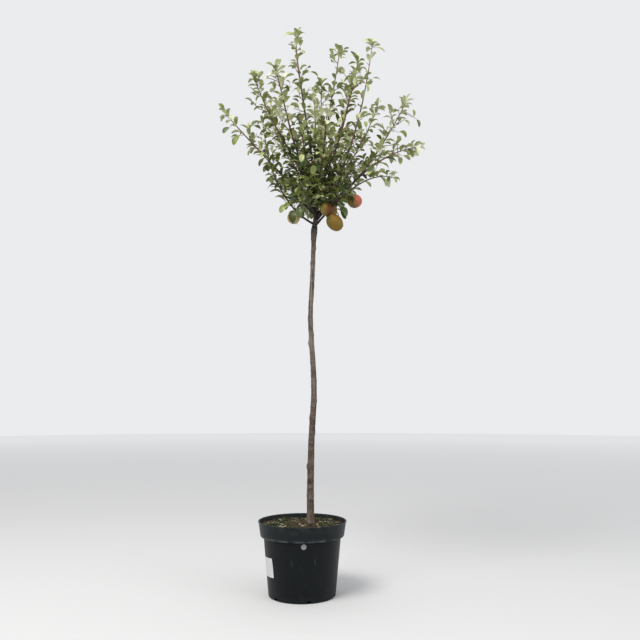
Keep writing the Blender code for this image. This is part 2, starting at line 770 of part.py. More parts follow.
def build_pot(collection, cutters):
    outside = pot_outside()
    profile = outside + pot_inside() + outside[:1]
    pot = lathe("pot", profile, collection, material("pot_plastic", POT_COLOUR, 0.45))
    for i in range(NOTCH_COUNT):
        turn = NOTCH_TURN + i * 2.0 * math.pi / NOTCH_COUNT
        away = Vector((math.cos(turn), math.sin(turn), 0.0))
        place = away * (POT_BASE_RADIUS - NOTCH_DEPTH + 0.5 * NOTCH_CUTTER)
        place += UP * (NOTCH_HEIGHT - 0.5 * NOTCH_CUTTER)
        size = (NOTCH_CUTTER, NOTCH_WIDTH, NOTCH_CUTTER)
        notch = add_block("notch_%d" % i, size, facing_matrix(place, away), cutters)
        boolean(pot, "DIFFERENCE", notch)
    slope = (POT_BODY_TOP_RADIUS - POT_BASE_RADIUS) / (POT_HEIGHT - POT_BAND_HEIGHT)
    away = Vector((math.cos(DISC_TURN), math.sin(DISC_TURN), 0.0))
    outward = (away - UP * slope).normalized()
    place = away * (POT_BASE_RADIUS + slope * DISC_HEIGHT) + UP * DISC_HEIGHT
    place += outward * 0.5 * (DISC_DEPTH - DISC_SUNK)
    shape = bmesh.new()
    bmesh.ops.create_cone(shape, cap_ends=True, segments=DISC_SIDES, radius1=DISC_RADIUS,
                          radius2=DISC_RADIUS, depth=DISC_DEPTH + DISC_SUNK)
    disc = add_shape("raised_disc", shape, cutters)
    disc.matrix_world = facing_matrix(place, outward) @ Matrix.Rotation(math.radians(90.0), 4, "Y")
    boolean(pot, "UNION", disc)


def soil_height(x, y):
    """Height of the lumpy soil surface, level where the trunk stands."""
    foot = trunk_point(TRUNK_FOOT)
    near = math.hypot(x - foot.x, y - foot.y)
    ease = min(max((near - SOIL_FLAT_RADIUS) / SOIL_EASE, 0.0), 1.0)
    lumps = sum(high * math.sin(across * x + shift) * math.sin(deep * y + slip)
                for high, across, shift, deep, slip in SOIL_LUMPS)
    edge = (math.hypot(x, y) / POT_RIM_RADIUS) ** 2
    return SOIL_LEVEL + ease * (SOIL_ROUGHNESS * lumps - SOIL_EDGE_DROP * edge)


def build_soil(collection):
    """Soil that fills the pot a hair clear of its wall."""
    wall = pot_inside(inset=1.5 * GAP)
    low, high = wall[-2], wall[-1]
    rise = (SOIL_EDGE_LEVEL - low[1]) / (high[1] - low[1])
    edge = low[0] + (high[0] - low[0]) * rise
    top = [(edge * i / SOIL_RINGS, SOIL_EDGE_LEVEL) for i in range(SOIL_RINGS + 1)]
    profile = top + list(reversed(wall[:-1]))
    soil = lathe("soil", profile, collection, material("soil", SOIL_COLOUR, 0.95))
    apply_modifiers(soil)
    for vert in soil.data.vertices:
        if vert.co.z > SOIL_EDGE_LEVEL - WELD:
            vert.co.z = soil_height(vert.co.x, vert.co.y)


def trunk_heights():
    """Ring heights, close together at the root flare."""
    flare = [TRUNK_FOOT + share * ROOT_FLARE_HEIGHT for share in FLARE_RINGS]
    count = TRUNK_RINGS - len(flare)
    return flare + [flare[-1] + (TRUNK_TIP - flare[-1]) * i / count for i in range(1, count + 1)]


def build_trunk(name, collection, mat=None, extra=0.0):
    """The trunk, or with extra the slightly larger space it needs."""
    heights = trunk_heights()
    points = [trunk_point(height) for height in heights]
    radii = [trunk_radius(height) + extra for height in heights]
    if extra:
        points.append(points[-1] + UP * 0.01)
        radii.append(radii[-1])
    return limb_tube(name, points, radii, TRUNK_RESOLUTION, collection, mat)


def build_bough(limb, collection, trunk_space):
    """Bare part of a limb, cut a hair clear of the trunk."""
    shares = bough_shares(limb)
    points = [limb_point(limb, share) for share in shares]
    radii = [limb_radius(limb, share) for share in shares]
    bark = material("bark_" + limb.name, BOUGH_COLOUR, 0.7)
    bough = limb_tube("bough_" + limb.name, points, radii, BOUGH_RESOLUTION, collection, bark)
    boolean(bough, "DIFFERENCE", trunk_space)


def fruit_frame(fruit):
    """Where a fruit hangs: its centre, with its stalk's end to +Z."""
    return Matrix.Translation(fruit.centre) @ Matrix.Rotation(math.radians(fruit.tilt), 4, "Y")


def build_fruit(name, fruit, limb, pieces, profile):
    """A fruit a little flattened at both poles, with its stalk."""
    shape = bmesh.new()
    bmesh.ops.create_uvsphere(shape, u_segments=FRUIT_SEGMENTS, v_segments=FRUIT_RINGS, radius=1.0)
    for vert in shape.verts:
        if abs(vert.co.z) > 0.99:
            vert.co.z *= POLE_FLATNESS
    bmesh.ops.scale(shape, vec=(fruit.radius, fruit.radius, fruit.half), verts=shape.verts)
    add_shape(name, shape, pieces).matrix_world = fruit_frame(fruit)
    root = limb_point(limb, fruit.share)
    top = fruit_frame(fruit) @ (UP * fruit.half * STALK_SUNK)
    points = [root, root.lerp(top, 0.5), top]
    limb_tube(name + "_stalk", points, [STALK_RADIUS] * 3, 0, pieces, profile=profile)


def build_foliage(index, collection, trunk_space, room, template, profile):
    """Stem, twigs, leaves and fruits of one limb fused into one solid."""
    limb = LIMBS[index]
    shares = stem_shares(limb)
    points = [limb_point(limb, share) for share in shares]
    radii = [limb_radius(limb, share) for share in shares]
    shade = LEAF_SHADE + LEAF_SHADE_STEP * (index * 7 % LEAF_SHADES)
    colour = (*(shade * part for part in LEAF_COLOUR[:3]), 1.0)
    leafage = material("foliage_" + limb.name, colour, 0.5)
    foliage = limb_tube("foliage_" + limb.name, points, radii, STEM_RESOLUTION, collection, leafage)
    growth = Growth(index, room, template)
    growth.run()
    pieces = new_collection("pieces_" + limb.name)
    for k, way in enumerate(growth.twigs):
        sizes = [TWIG_RADIUS, TWIG_MIDDLE_RADIUS, TWIG_TIP_RADIUS]
        limb_tube("twig_%d" % k, way, sizes, 0, pieces, profile=profile)
    for k, matrix in enumerate(growth.leaves):
        add_object("leaf_%d" % k, template, pieces).matrix_world = matrix
    for k, fruit in enumerate(FRUITS):
        if fruit.limb == limb.name:
            build_fruit("fruit_%d" % k, fruit, limb, pieces, profile)
    boolean(foliage, "UNION", collection=pieces)
    if limb.bare == 0.0:
        boolean(foliage, "DIFFERENCE", trunk_space)
    apply_modifiers(foliage)
    keep_outer_shell(foliage)
    for piece in list(pieces.objects):
        remove_object(piece)
    bpy.data.collections.remove(pieces)


def triangle_profile(cutters):
    """Section of the twigs: a closed outline with three corners."""
    curve = bpy.data.curves.new("twig_section", "CURVE")
    curve.dimensions = "2D"
    spline = curve.splines.new("POLY")
    spline.points.add(2)
    for k, point in enumerate(spline.points):
        turn = 2.0 * math.pi * k / 3
        point.co = (math.cos(turn), math.sin(turn), 0.0, 1.0)
    spline.use_cyclic_u = True
    return add_object("twig_section", curve, cutters)


def main():
    for obj in list(bpy.data.objects):
        bpy.data.objects.remove(obj, do_unlink=True)
    plant = new_collection("potted_flowering_quince")
    cutters = new_collection("cutters")
    build_pot(plant, cutters)
    build_soil(plant)
    build_trunk("trunk", plant, material("trunk_bark", TRUNK_COLOUR, 0.8))
    trunk_space = build_trunk("trunk_space", cutters, extra=1.2 * GAP)
    room = Surroundings()
    template = leaf_template()
    profile = triangle_profile(cutters)
    for index, limb in enumerate(LIMBS):
        if limb.bare > 0.0:
            build_bough(limb, plant, trunk_space)
        build_foliage(index, plant, trunk_space, room, template, profile)
    for obj in cutters.objects:
        obj.hide_render = True
        obj.display_type = "WIRE"


main()
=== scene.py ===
"""Looks of the potted flowering quince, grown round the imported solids.

Units are metres, +Z is up, +Y runs away from the viewer and the origin is the
centre of the pot's flat underside.  The limbs, twigs and leaves follow the
same seeded rule as the solids and are carried on to finer twigs and leaves.
"""
import math
import random
from typing import NamedTuple

import bmesh
import bpy
import numpy as np
from mathutils import Matrix, Vector, noise
from mathutils.bvhtree import BVHTree


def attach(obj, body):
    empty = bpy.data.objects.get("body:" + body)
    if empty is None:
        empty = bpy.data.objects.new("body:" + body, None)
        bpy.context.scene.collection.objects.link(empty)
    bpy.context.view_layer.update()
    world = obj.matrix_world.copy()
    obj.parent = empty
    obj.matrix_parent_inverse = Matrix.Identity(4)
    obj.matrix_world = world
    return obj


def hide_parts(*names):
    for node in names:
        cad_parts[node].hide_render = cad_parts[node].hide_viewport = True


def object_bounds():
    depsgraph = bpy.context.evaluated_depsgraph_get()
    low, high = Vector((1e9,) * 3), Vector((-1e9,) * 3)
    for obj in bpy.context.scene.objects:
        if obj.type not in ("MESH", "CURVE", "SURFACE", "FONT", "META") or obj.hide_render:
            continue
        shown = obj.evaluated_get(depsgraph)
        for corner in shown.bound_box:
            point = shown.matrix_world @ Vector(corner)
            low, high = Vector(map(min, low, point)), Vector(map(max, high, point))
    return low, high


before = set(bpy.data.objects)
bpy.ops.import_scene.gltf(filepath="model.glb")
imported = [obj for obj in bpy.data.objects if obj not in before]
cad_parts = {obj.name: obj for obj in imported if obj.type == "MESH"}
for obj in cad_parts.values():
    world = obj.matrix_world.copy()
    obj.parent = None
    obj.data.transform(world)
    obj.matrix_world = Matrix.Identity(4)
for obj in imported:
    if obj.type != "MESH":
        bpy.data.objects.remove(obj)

CAD_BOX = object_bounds()
BODY = "root"

UP = Vector((0.0, 0.0, 1.0))
GAP = 0.0003            # clear space left between neighbouring solids

POT_RIM_RADIUS = 0.1400
POT_HEIGHT = 0.2285
POT_BAND_HEIGHT = 0.0460
POT_BAND_LOW_RADIUS = 0.1340
POT_BODY_TOP_RADIUS = 0.1236
POT_BASE_RADIUS = 0.1067
POT_WALL = 0.0024
POT_FLOOR = 0.0035
POT_LIP = 0.0016        # how far the rim's bead stands out
POT_LIP_HEIGHT = 0.0044
POT_LIP_BEVEL = 0.0010
POT_BAND_STEP = 0.0015
POT_CHAMFER = 0.0022

# Blind drain notches round the foot of the pot
NOTCH_COUNT = 6
NOTCH_TURN = math.radians(-77.0)
NOTCH_WIDTH = 0.0150

NOTCH_DEPTH = 0.0013
NOTCH_CUTTER = 0.0200

# Raised plain disc on the front of the pot
DISC_RADIUS = 0.0085
DISC_DEPTH = 0.0006
DISC_SUNK = 0.0012
DISC_HEIGHT = 0.1690
DISC_TURN = math.radians(-86.5)

# Soil
SOIL_LEVEL = 0.2188

SOIL_EDGE_DROP = 0.0050
SOIL_ROUGHNESS = 0.0022
SOIL_LUMPS = (          # height, waves and shift along X, waves and shift along Y
    (1.0, 71.0, 1.3, 83.0, 1.2),
    (0.6, 137.0, -2.1, 121.0, 0.7),
)

SOIL_FLAT_RADIUS = 0.0380
SOIL_EASE = 0.0200

TRUNK_FOOT = SOIL_LEVEL + GAP
TRUNK_TIP = 1.4000
TRUNK_WAY = (           # height, sideways place and depth of the centreline
    (0.2191, 0.0262, 0.000),
    (0.3300, 0.0258, 0.002),
    (0.4800, 0.0288, 0.004),
    (0.6500, 0.0366, 0.001),
    (0.8800, 0.0250, -0.004),
    (1.0300, 0.0313, -0.002),
    (1.1800, 0.0364, 0.002),
    (1.2500, 0.0430, 0.003),
    (1.4000, 0.0450, 0.000),
)
TRUNK_SLIM = 0.0152     # diameter of the upper stem
TRUNK_STOUT = 0.0088    # what the foot has over it
TRUNK_SLIM_HEIGHT = 1.0000
ROOT_FLARE = 0.0070
ROOT_FLARE_HEIGHT = 0.0130
GRAFT_HEIGHT = 1.1820
GRAFT_SWELL = 0.0072
GRAFT_LENGTH = 0.0240
LEADER_TIP_DIAMETER = 0.0092


class Limb(NamedTuple):
    """One limb: a curve from its root on the leader to its tip."""

    name: str
    height: float           # of its root
    turn: float             # compass turn from +X in degrees
    reach: float
    rise: float
    out: float = 0.70       # place of its bend, as a share of the reach
    up: float = 0.50        # and as a share of the rise
    radius: float = 0.0042  # at the root
    bare: float = 0.18      # share that is bare bough
    twig: float = 0.110     # length of its side twigs
    step: float = 0.033     # between two nodes that bear a twig or leaves


LIMBS = (
    Limb("left_leader", 1.352, 204, 0.073, 0.524, 1.35, 1.00, bare=0.16, twig=0.050),
    Limb("left", 1.312, 198, 0.227, 0.400, up=0.55, twig=0.085),
    Limb("far_left", 1.258, 175, 0.326, 0.366, 0.60, 0.58, 0.0046, 0.20, 0.060),
    Limb("low_left", 1.208, 199, 0.187, 0.342, 0.85, 0.18, 0.0036, 0.16, 0.055),
    Limb("mid_back", 1.374, 50, 0.131, 0.533, 0.75, 0.65, 0.0040, 0.16, 0.060),
    Limb("mid_front", 1.326, 325, 0.170, 0.427, 0.95, 0.70, twig=0.065),
    Limb("right_leader", 1.270, 349, 0.200, 0.580, 0.70, 0.22, 0.0050, 0.26, 0.055),
    Limb("right", 1.247, 7, 0.326, 0.428, 0.50, 0.22, 0.0046, 0.20, 0.100),
    Limb("far_right", 1.218, 342, 0.350, 0.222, 0.60, 1.00, 0.0040, 0.20, 0.080),
    Limb("low_right", 1.200, 2, 0.271, 0.178, 0.62, 1.20, 0.0036, 0.22, 0.045),
    Limb("mid_right", 1.310, 34, 0.279, 0.408, 0.55, 0.25, 0.0036, 0.0, 0.075),
    Limb("fruiting", 1.240, 314, 0.150, 0.040, 0.60, 0.40, 0.0034, twig=0.070),
    Limb("front_left", 1.280, 242, 0.270, 0.368, twig=0.090),
    Limb("front", 1.254, 277, 0.290, 0.215, 0.60, 0.60, twig=0.090),
    Limb("front_right", 1.297, 300, 0.250, 0.333, twig=0.090),
    Limb("low_front", 1.228, 256, 0.180, 0.055, 0.60, 0.70, 0.0034, 0.34, 0.085),
    Limb("back_left", 1.300, 130, 0.280, 0.392, 0.65, twig=0.085),
    Limb("back", 1.340, 92, 0.250, 0.475, 0.80, 0.50, 0.0040, 0.16, 0.080),
    Limb("back_right", 1.285, 62, 0.280, 0.355, 0.65, 0.55, twig=0.100),
    Limb("low_back", 1.228, 100, 0.230, 0.136, 0.60, 0.80, 0.0036, twig=0.100),
    Limb("low_back_left", 1.240, 146, 0.150, 0.150, 0.60, 0.80, 0.0034, twig=0.080),
    Limb("low_back_right", 1.236, 52, 0.200, 0.154, 0.70, 0.60, 0.0032, 0.0, 0.085),
    Limb("heart_left", 1.334, 232, 0.080, 0.190, 0.90, 0.40, 0.0032, 0.0, 0.080, 0.026),
    Limb("heart_right", 1.348, 287, 0.062, 0.340, 0.90, 0.40, 0.0032, 0.0, 0.070, 0.026),
    Limb("heart_back", 1.330, 155, 0.080, 0.190, 0.90, 0.40, 0.0032, 0.0, 0.080, 0.026),
    Limb("heart_side", 1.322, 24, 0.085, 0.180, 0.90, 0.40, 0.0032, 0.0, 0.080, 0.026),
    Limb("heart_low", 1.238, 222, 0.120, 0.085, 0.80, 0.50, 0.0030, 0.0, 0.080, 0.024),
    Limb("heart_front", 1.246, 280, 0.110, 0.060, 0.80, 0.50, 0.0030, 0.0, 0.080, 0.024),
    Limb("heart_low_right", 1.311, 333, 0.135, 0.066, 0.80, 0.50, 0.0030, 0.0, 0.075, 0.024),
)
LIMB_TIP_RADIUS = 0.0010
LIMB_SLIMMING = 0.8
LIMB_WEAVE = 0.0030     # how far a limb weaves about its curve
LIMB_WEAVES = 3.0       # half waves from its root to its tip
LIMB_WEAVE_SHIFT = 3.0  # radians for each radian that the limb is turned

# Twigs
SEED = 119
LATERAL_EVERY = 2       # every other node bears a side twig
LATERALS_UP_TO = 0.93   # and none past this share of the limb
NODE_SETBACK = 0.35     # of a node, as a share of the space between two
GOLDEN_TURN = math.radians(137.5)
TWIG_RADIUS = 0.00125

TWIG_TIP_RADIUS = 0.00080
TWIG_SPLAY = math.radians(50.0)
TWIG_LIFT = 0.22
TWIG_FALLOFF = 0.45     # how much shorter side twigs get towards the limb's tip
TWIG_END = 0.98         # share of a twig where its last leaf sits
UNEVEN = 0.20           # spread of lengths and angles about their mean
TWIG_BEND = 0.24        # how far a twig turns aside at its middle
TWIG_SHORTENINGS = (1.0, 0.8, 0.6, 0.42)
TWIG_TEST_SHARES = (0.2, 0.35, 0.5, 0.65, 0.8, 1.0)

# Leaves, a little larger than life
LEAF_STEP = 0.025
LEAF_LENGTH = 0.0475
LEAF_WIDTH = 0.56       # as a share of the length, like the four below
LEAF_WIDEST = 0.47
LEAF_RIDGE = 0.42
LEAF_ROOT = 0.010
LEAF_ARCH = 0.13
LEAF_THICKNESS = 0.030
LEAF_SPLAY = math.radians(48.0)
LEAF_LIFT = (-0.25, 0.30)
LEAF_TIPPING = 0.70     # how far a leaf may tip off level, to the side
LEAF_LEVEL = (0.45, 0.95)   # and how strongly it faces the sky
LEAF_FALLOFF = 0.12     # how much smaller leaves get towards the limb's tip
LEAF_TRIES = 6
LEAF_SHRINK = 0.94      # of a leaf after each failed try
LEAF_SWING = 0.5        # and how far it then turns away
SPUR_TURNS = (-0.6, 0.9)    # where a spur's two leaves stand
SPUR_STEP = 0.007
TIP_SPLAYS = (0.30, 1.30, 1.90)     # of the leaves at a limb's tip
TIP_STEP = 0.005
TIP_SIZE = 0.82

# A mass keeps this far from the middle line between it and the next mass, and
# this far from other wood and fruit.  Its own leaves and twigs keep clear of
# its own wood by the margins below.
CELL_MARGIN = 0.0018
WOOD_MARGIN = 0.0016
LEAF_MARGIN = 0.0032
TWIG_MARGIN = 0.0060
TWIG_LEAF_MARGIN = 0.0030
SAMPLE_STEP = 0.006


class Fruit(NamedTuple):
    """One fruit that hangs from a limb on a short stalk."""

    limb: str
    share: float            # where its stalk leaves the limb
    centre: tuple
    radius: float
    half: float             # half its height
    tilt: float             # of its axis towards +X, in degrees


FRUITS = (
    Fruit("fruiting", 0.50, (0.1060, -0.064, 1.1955), 0.0252, 0.0320, -42.0),
    Fruit("fruiting", 0.40, (0.0782, -0.068, 1.2400), 0.0208, 0.0240, -12.0),
    Fruit("fruiting", 0.93, (0.1715, -0.070, 1.2675), 0.0245, 0.0225, 8.0),
    Fruit("low_left", 0.24, (-0.0316, -0.046, 1.2163), 0.0210, 0.0200, 10.0),
    Fruit("low_back_right", 0.45, (0.0980, 0.080, 1.2830), 0.0205, 0.0220, 0.0),
)

# Camera at the photo's angle, and a plain studio
CAMERA_PLACE = (0.0566, -2.1427, 0.5809)
CAMERA_PITCH = math.radians(97.875)
CAMERA_LENS = 36.29
CAMERA_SENSOR = 36.0
FLOOR_RADIUS = 14.0
FLOOR_LEVEL = -0.0003
FLOOR_CENTRE = (-0.6, -0.9)

# Finer growth of the real plant
FINE_SEED = 27
REAL_LEAF = 0.80        # a real leaf's length, as a share of the solid's leaf
REAL_WIDTH = 0.44       # its width, as a share of its own length
LEAF_BENDS = (0.5, 1.9)     # how far a leaf arches back
LEAF_FOLDS = (0.10, 0.60)   # how steeply it folds along its rib
LEAF_LEVELLING = 0.86
LEAF_DROOP = 0.10
SPRAY_LIGHT = 0.07
SPRAY_UNEVEN = 0.09
LEAF_UNEVEN = 0.11
BRONZE_SHARE = 0.006
LARGE_LEAF = 0.036
FINE_STEP = 0.0165       # between two places that may bear small leaves
HEART_STEP = 0.0085     # and on the limbs in the dense heart of the crown
HEART_TOP = 1.40
THINNING = 2            # above it only every other place is used
SPARSE_ABOVE = {        # limbs that stay sparse above a height
    "right_leader": 1.48,
    "left_leader": 1.76,
    "mid_back": 1.74,
    "mid_front": 1.66,
    "low_right": 1.28,
    "far_left": 1.52,
}
SPARSE_THINNING = 6
BARE_UP_TO = {          # shares of limbs that stay clear of fine leaves
    "low_right": 0.72,
    "far_right": 0.56,
    "right": 0.40,
    "low_left": 0.34,
}
OPENINGS = (             # x, z, size and strength of the crown's gaps
    (0.048, 1.609, 0.045, 0.75),
    (0.135, 1.524, 0.040, 0.55),
    (0.135, 1.440, 0.040, 0.45),
    (0.264, 1.359, 0.045, 0.60),
    (0.395, 1.493, 0.040, 0.40),
    (-0.082, 1.359, 0.035, 0.40),
    (-0.125, 1.335, 0.045, 0.60),
    (0.135, 1.781, 0.050, 0.40),
)
FULL_SPOTS = (           # and of the places where leaves stand close
    (-0.042, 1.611, 0.060, 1.0),
    (0.134, 1.611, 0.050, 1.0),
    (-0.128, 1.526, 0.060, 1.0),
    (0.220, 1.442, 0.045, 1.0),
)
TUFT_LEAVES = 5
TUFT_LEAF = 0.042
FINE_TWIG_STEP = 0.036
FINE_TWIG_LENGTH = 0.85     # as a share of the limb's own side twigs
CROWN_TOP = 1.90
CROWN_FOOT = 1.248      # no fine twig or leaf hangs lower
LOW_LEAF_GAIN = 0.65
DARK_STEM_SHARE = 0.35       # share of a stem below which it takes the dark tone: painted shade near the fork
LEAVES_FROM = 1.245     # height from which bare boughs bear them too
SMALL_LEAF = 0.030
SMALL_LEAF_SPREAD = 0.30
SPURLET_EVERY = 3
SPURLET_LENGTH = 0.018
SPURLET_LEAVES = 3
OPEN_MARGIN = 0.0012
LEAF_STATIONS = 10
LEAF_COLUMNS = 4
LEAF_TOOTH = 0.03
PETIOLE = 0.12
LEAF_FORMS = 10

# Trunk's knots: height, compass turn, how far they stand out, how long they are
KNOTS = (
    (1.155, 205, 0.0014, 0.008),
    (1.123, 340, 0.0019, 0.008),
    (1.071, 215, 0.0024, 0.010),
    (1.040, 262, 0.0008, 0.007),
    (0.960, 60, 0.0024, 0.010),
    (0.905, 285, 0.0008, 0.007),
    (0.826, 325, 0.0024, 0.010),
    (0.799, 196, 0.0034, 0.010),
    (0.700, 262, 0.0011, 0.008),
    (0.655, 230, 0.0010, 0.008),
    (0.608, 330, 0.0022, 0.010),
    (0.554, 205, 0.0024, 0.010),
    (0.459, 232, 0.0018, 0.009),
    (0.397, 192, 0.0034, 0.010),
    (0.365, 300, 0.0018, 0.009),
    (0.305, 215, 0.0016, 0.009),
    (0.640, 110, 0.0027, 0.012),
    (0.505, 40, 0.0024, 0.010),
    (0.880, 140, 0.0026, 0.011),
)
COLLAR_SWELL = 0.35     # of a limb, on the trunk's middle line
COLLAR_LENGTH = 0.012
SCAR_SEAT = 0.75        # of a knot's bulge under the middle of its scar
SCAR_DEPTH = 0.0009
SCAR_WIDTH = 0.0019
SCAR_HEIGHT = 0.0013
TRUNK_STEP = 0.0020
TRUNK_SIDES = 32

NOTCH_TALL = 0.0088     # a drain notch, with the rounding of its top edge

# Blank label on the side of the pot
LABEL_TURNS = (math.radians(182.4), math.radians(220.9))
LABEL_LOW = 0.0650
LABEL_HEIGHT = 0.0580
LABEL_TILT = 0.070
LABEL_THICKNESS = 0.0003

CHIP_COUNT = 420
MOSS_PATCHES = (
    (-0.078, -0.020, 0.048),
    (0.080, -0.015, 0.048),
    (-0.040, -0.085, 0.030),
    (0.050, 0.080, 0.040),
    (-0.060, 0.070, 0.040),
    (0.070, -0.080, 0.026),
)
MOSS_TUFTS = 4200


def square_to(direction):
    """A unit vector square to the given one."""
    other = UP if abs(direction.z) < 0.9 else Vector((1.0, 0.0, 0.0))
    return direction.cross(other).normalized()


def smooth_way(height):
    """Sideways place and depth of the trunk, smoothly through its rows."""
    rows = TRUNK_WAY
    last = len(rows) - 1
    i = 0
    while i < last - 1 and height > rows[i + 1][0]:
        i += 1
    near = [rows[min(max(k, 0), last)] for k in (i - 1, i, i + 1, i + 2)]
    span = near[2][0] - near[1][0]
    u = min(max((height - near[1][0]) / span, 0.0), 1.0)
    place = []
    for axis in (1, 2):
        slope_in = (near[2][axis] - near[0][axis]) / (near[2][0] - near[0][0]) * span
        slope_out = (near[3][axis] - near[1][axis]) / (near[3][0] - near[1][0]) * span
        place.append(
            (2 * u ** 3 - 3 * u ** 2 + 1) * near[1][axis]
            + (u ** 3 - 2 * u ** 2 + u) * slope_in
            + (3 * u ** 2 - 2 * u ** 3) * near[2][axis]
            + (u ** 3 - u ** 2) * slope_out
        )
    return place


def trunk_point(height):
    x, y = smooth_way(height)
    return Vector((x, y, height))


def trunk_radius(height):
    """True taper with root flare, graft swelling and slimming leader."""
    above = max(height - TRUNK_FOOT, 0.0)
    low = max(1.0 - above / (TRUNK_SLIM_HEIGHT - TRUNK_FOOT), 0.0)
    size = TRUNK_SLIM + TRUNK_STOUT * low ** 1.2
    size += ROOT_FLARE * math.exp(-above / ROOT_FLARE_HEIGHT)
    size += GRAFT_SWELL * math.exp(-((height - GRAFT_HEIGHT) / GRAFT_LENGTH) ** 2)
    fork = GRAFT_HEIGHT + 2.5 * GRAFT_LENGTH
    if height > fork:
        size += (LEADER_TIP_DIAMETER - TRUNK_SLIM) * (height - fork) / (TRUNK_TIP - fork)
    return 0.5 * size


def limb_away(limb):
    turn = math.radians(limb.turn)
    return Vector((math.cos(turn), math.sin(turn), 0.0))


def limb_point(limb, share):
    """Place on a limb from its root (0) to its tip (1)."""
    away = limb_away(limb)
    root = trunk_point(limb.height)
    bend = root + away * limb.reach * limb.out + UP * limb.rise * limb.up
    tip = root + away * limb.reach + UP * limb.rise
    rest = 1.0 - share
    point = root * rest ** 2 + bend * 2.0 * share * rest + tip * share ** 2
    phase = math.pi * LIMB_WEAVES * share + LIMB_WEAVE_SHIFT * math.radians(limb.turn)
    weave = LIMB_WEAVE * math.sin(phase) * min(4.0 * share, 1.0) * (1.2 - share)
    return point + UP.cross(away) * weave


def limb_length(limb):
    points = [limb_point(limb, i / 24) for i in range(25)]
    return sum((b - a).length for a, b in zip(points, points[1:]))


def limb_radius(limb, share):
    return LIMB_TIP_RADIUS + (limb.radius - LIMB_TIP_RADIUS) * max(1.0 - share, 0.0) ** LIMB_SLIMMING


def limb_heading(limb, share):
    before = limb_point(limb, max(share - 0.02, 0.0))
    after = limb_point(limb, min(share + 0.02, 1.0))
    return (after - before).normalized()


def limb_samples(limb, start, end):
    """Shares close together along part of a limb, for measuring distances."""
    count = max(int(limb_length(limb) * (end - start) / SAMPLE_STEP), 4)
    return [start + (end - start) * i / count for i in range(count + 1)]


class Surroundings:
    """Stems, bare wood and fruit that growth has to keep clear of."""

    def __init__(self):
        self.stems = []
        wood = []
        radii = []
        for limb in LIMBS:
            self.stems.append(np.array([limb_point(limb, s) for s in limb_samples(limb, limb.bare, 1.0)]))
            if limb.bare > 0.0:
                for share in limb_samples(limb, 0.0, limb.bare):
                    wood.append(limb_point(limb, share))
                    radii.append(limb_radius(limb, share))
        height = GRAFT_HEIGHT - 0.08
        while height < TRUNK_TIP:
            wood.append(trunk_point(height))
            radii.append(trunk_radius(height))
            height += SAMPLE_STEP
        for fruit in FRUITS:
            wood.append(Vector(fruit.centre))
            radii.append(max(fruit.radius, fruit.half))
        self.wood = np.array(wood)
        self.radii = np.array(radii)

    def has_room(self, index, points):
        """True where all points are in the mass's own space and clear of wood."""
        points = np.array([tuple(point) for point in points])
        own = spacing(points, self.stems[index]).min(axis=1)
        for other, stem in enumerate(self.stems):
            if other != index:
                nearer = spacing(points, stem).min(axis=1) - own
                if nearer.min() < 2.0 * CELL_MARGIN:
                    return False
        return (spacing(points, self.wood) - self.radii).min() > WOOD_MARGIN


def spacing(points, targets):
    """Distance from each point to each target."""
    return np.sqrt(((points[:, None, :] - targets[None, :, :]) ** 2).sum(axis=2))


def leaf_template():
    """A leaf one unit long as a sphere of three segments drawn out thin.

    Its poles are the root and the tip, and its middle is the two sides and
    the ridge.  It lies along +X with its upper side to +Z.
    """
    shape = bmesh.new()
    bmesh.ops.create_uvsphere(shape, u_segments=3, v_segments=2, radius=1.0)
    low, *middle, high = sorted(shape.verts, key=lambda vert: round(vert.co.z, 3))
    side, ridge, other = sorted(middle, key=lambda vert: round(vert.co.x - vert.co.y, 3))
    low.co = (-LEAF_ROOT, 0.0, 0.0)
    high.co = (1.0, 0.0, -LEAF_ARCH)
    side.co = (LEAF_WIDEST, -0.5 * LEAF_WIDTH, 0.0)
    ridge.co = (LEAF_RIDGE, 0.0, LEAF_THICKNESS)
    other.co = (LEAF_WIDEST, 0.5 * LEAF_WIDTH, 0.0)
    if shape.calc_volume(signed=True) < 0.0:
        bmesh.ops.reverse_faces(shape, faces=shape.faces)
    mesh = bpy.data.meshes.new("leaf")
    mesh.use_fake_user = True
    shape.to_mesh(mesh)
    shape.free()
    return mesh


def leaf_matrix(base, heading, facing, length):
    """Where a leaf lies: its root, its length along, its upper side."""
    side = facing.cross(heading).normalized()
    facing = heading.cross(side).normalized()
    turn = Matrix((heading, side, facing)).transposed().to_4x4()
    return Matrix.Translation(base) @ turn @ Matrix.Scale(length, 4)


def leaf_facing(heading, rng):
    """Upper side of a leaf: to the sky, tipped at random."""
    up = Vector((rng.uniform(-1, 1), rng.uniform(-1, 1), 0.0)) * LEAF_TIPPING
    up.z = rng.uniform(*LEAF_LEVEL)
    up -= heading * up.dot(heading)
    if up.length < 0.15:
        up = square_to(heading)
    return up.normalized()


LEAF_TESTS = [Vector((x, y * 0.5 * LEAF_WIDTH, -LEAF_ARCH * max(x - LEAF_WIDEST, 0.0) / (1.0 - LEAF_WIDEST)))
              for x, y in ((0.18, 0.0), (0.33, 0.6), (0.33, -0.6), (LEAF_WIDEST, 1.0), (LEAF_WIDEST, 0.0),
                           (LEAF_WIDEST, -1.0), (0.74, 0.5), (0.74, -0.5), (1.0, 0.0))]


def twig_way(base, heading, length, bend):
    """Three points of a side twig that bends as it grows."""
    points = [base]
    for _ in range(2):
        points.append(points[-1] + heading * length / 2.0)
        heading = (heading + bend * TWIG_BEND + UP * TWIG_LIFT * 0.5).normalized()
    return points


def along(points, share):
    """Place and heading at a share of a polyline's length."""
    place = share * (len(points) - 1)
    i = min(int(place), len(points) - 2)
    step = points[i + 1] - points[i]
    return points[i] + step * (place - i), step.normalized()


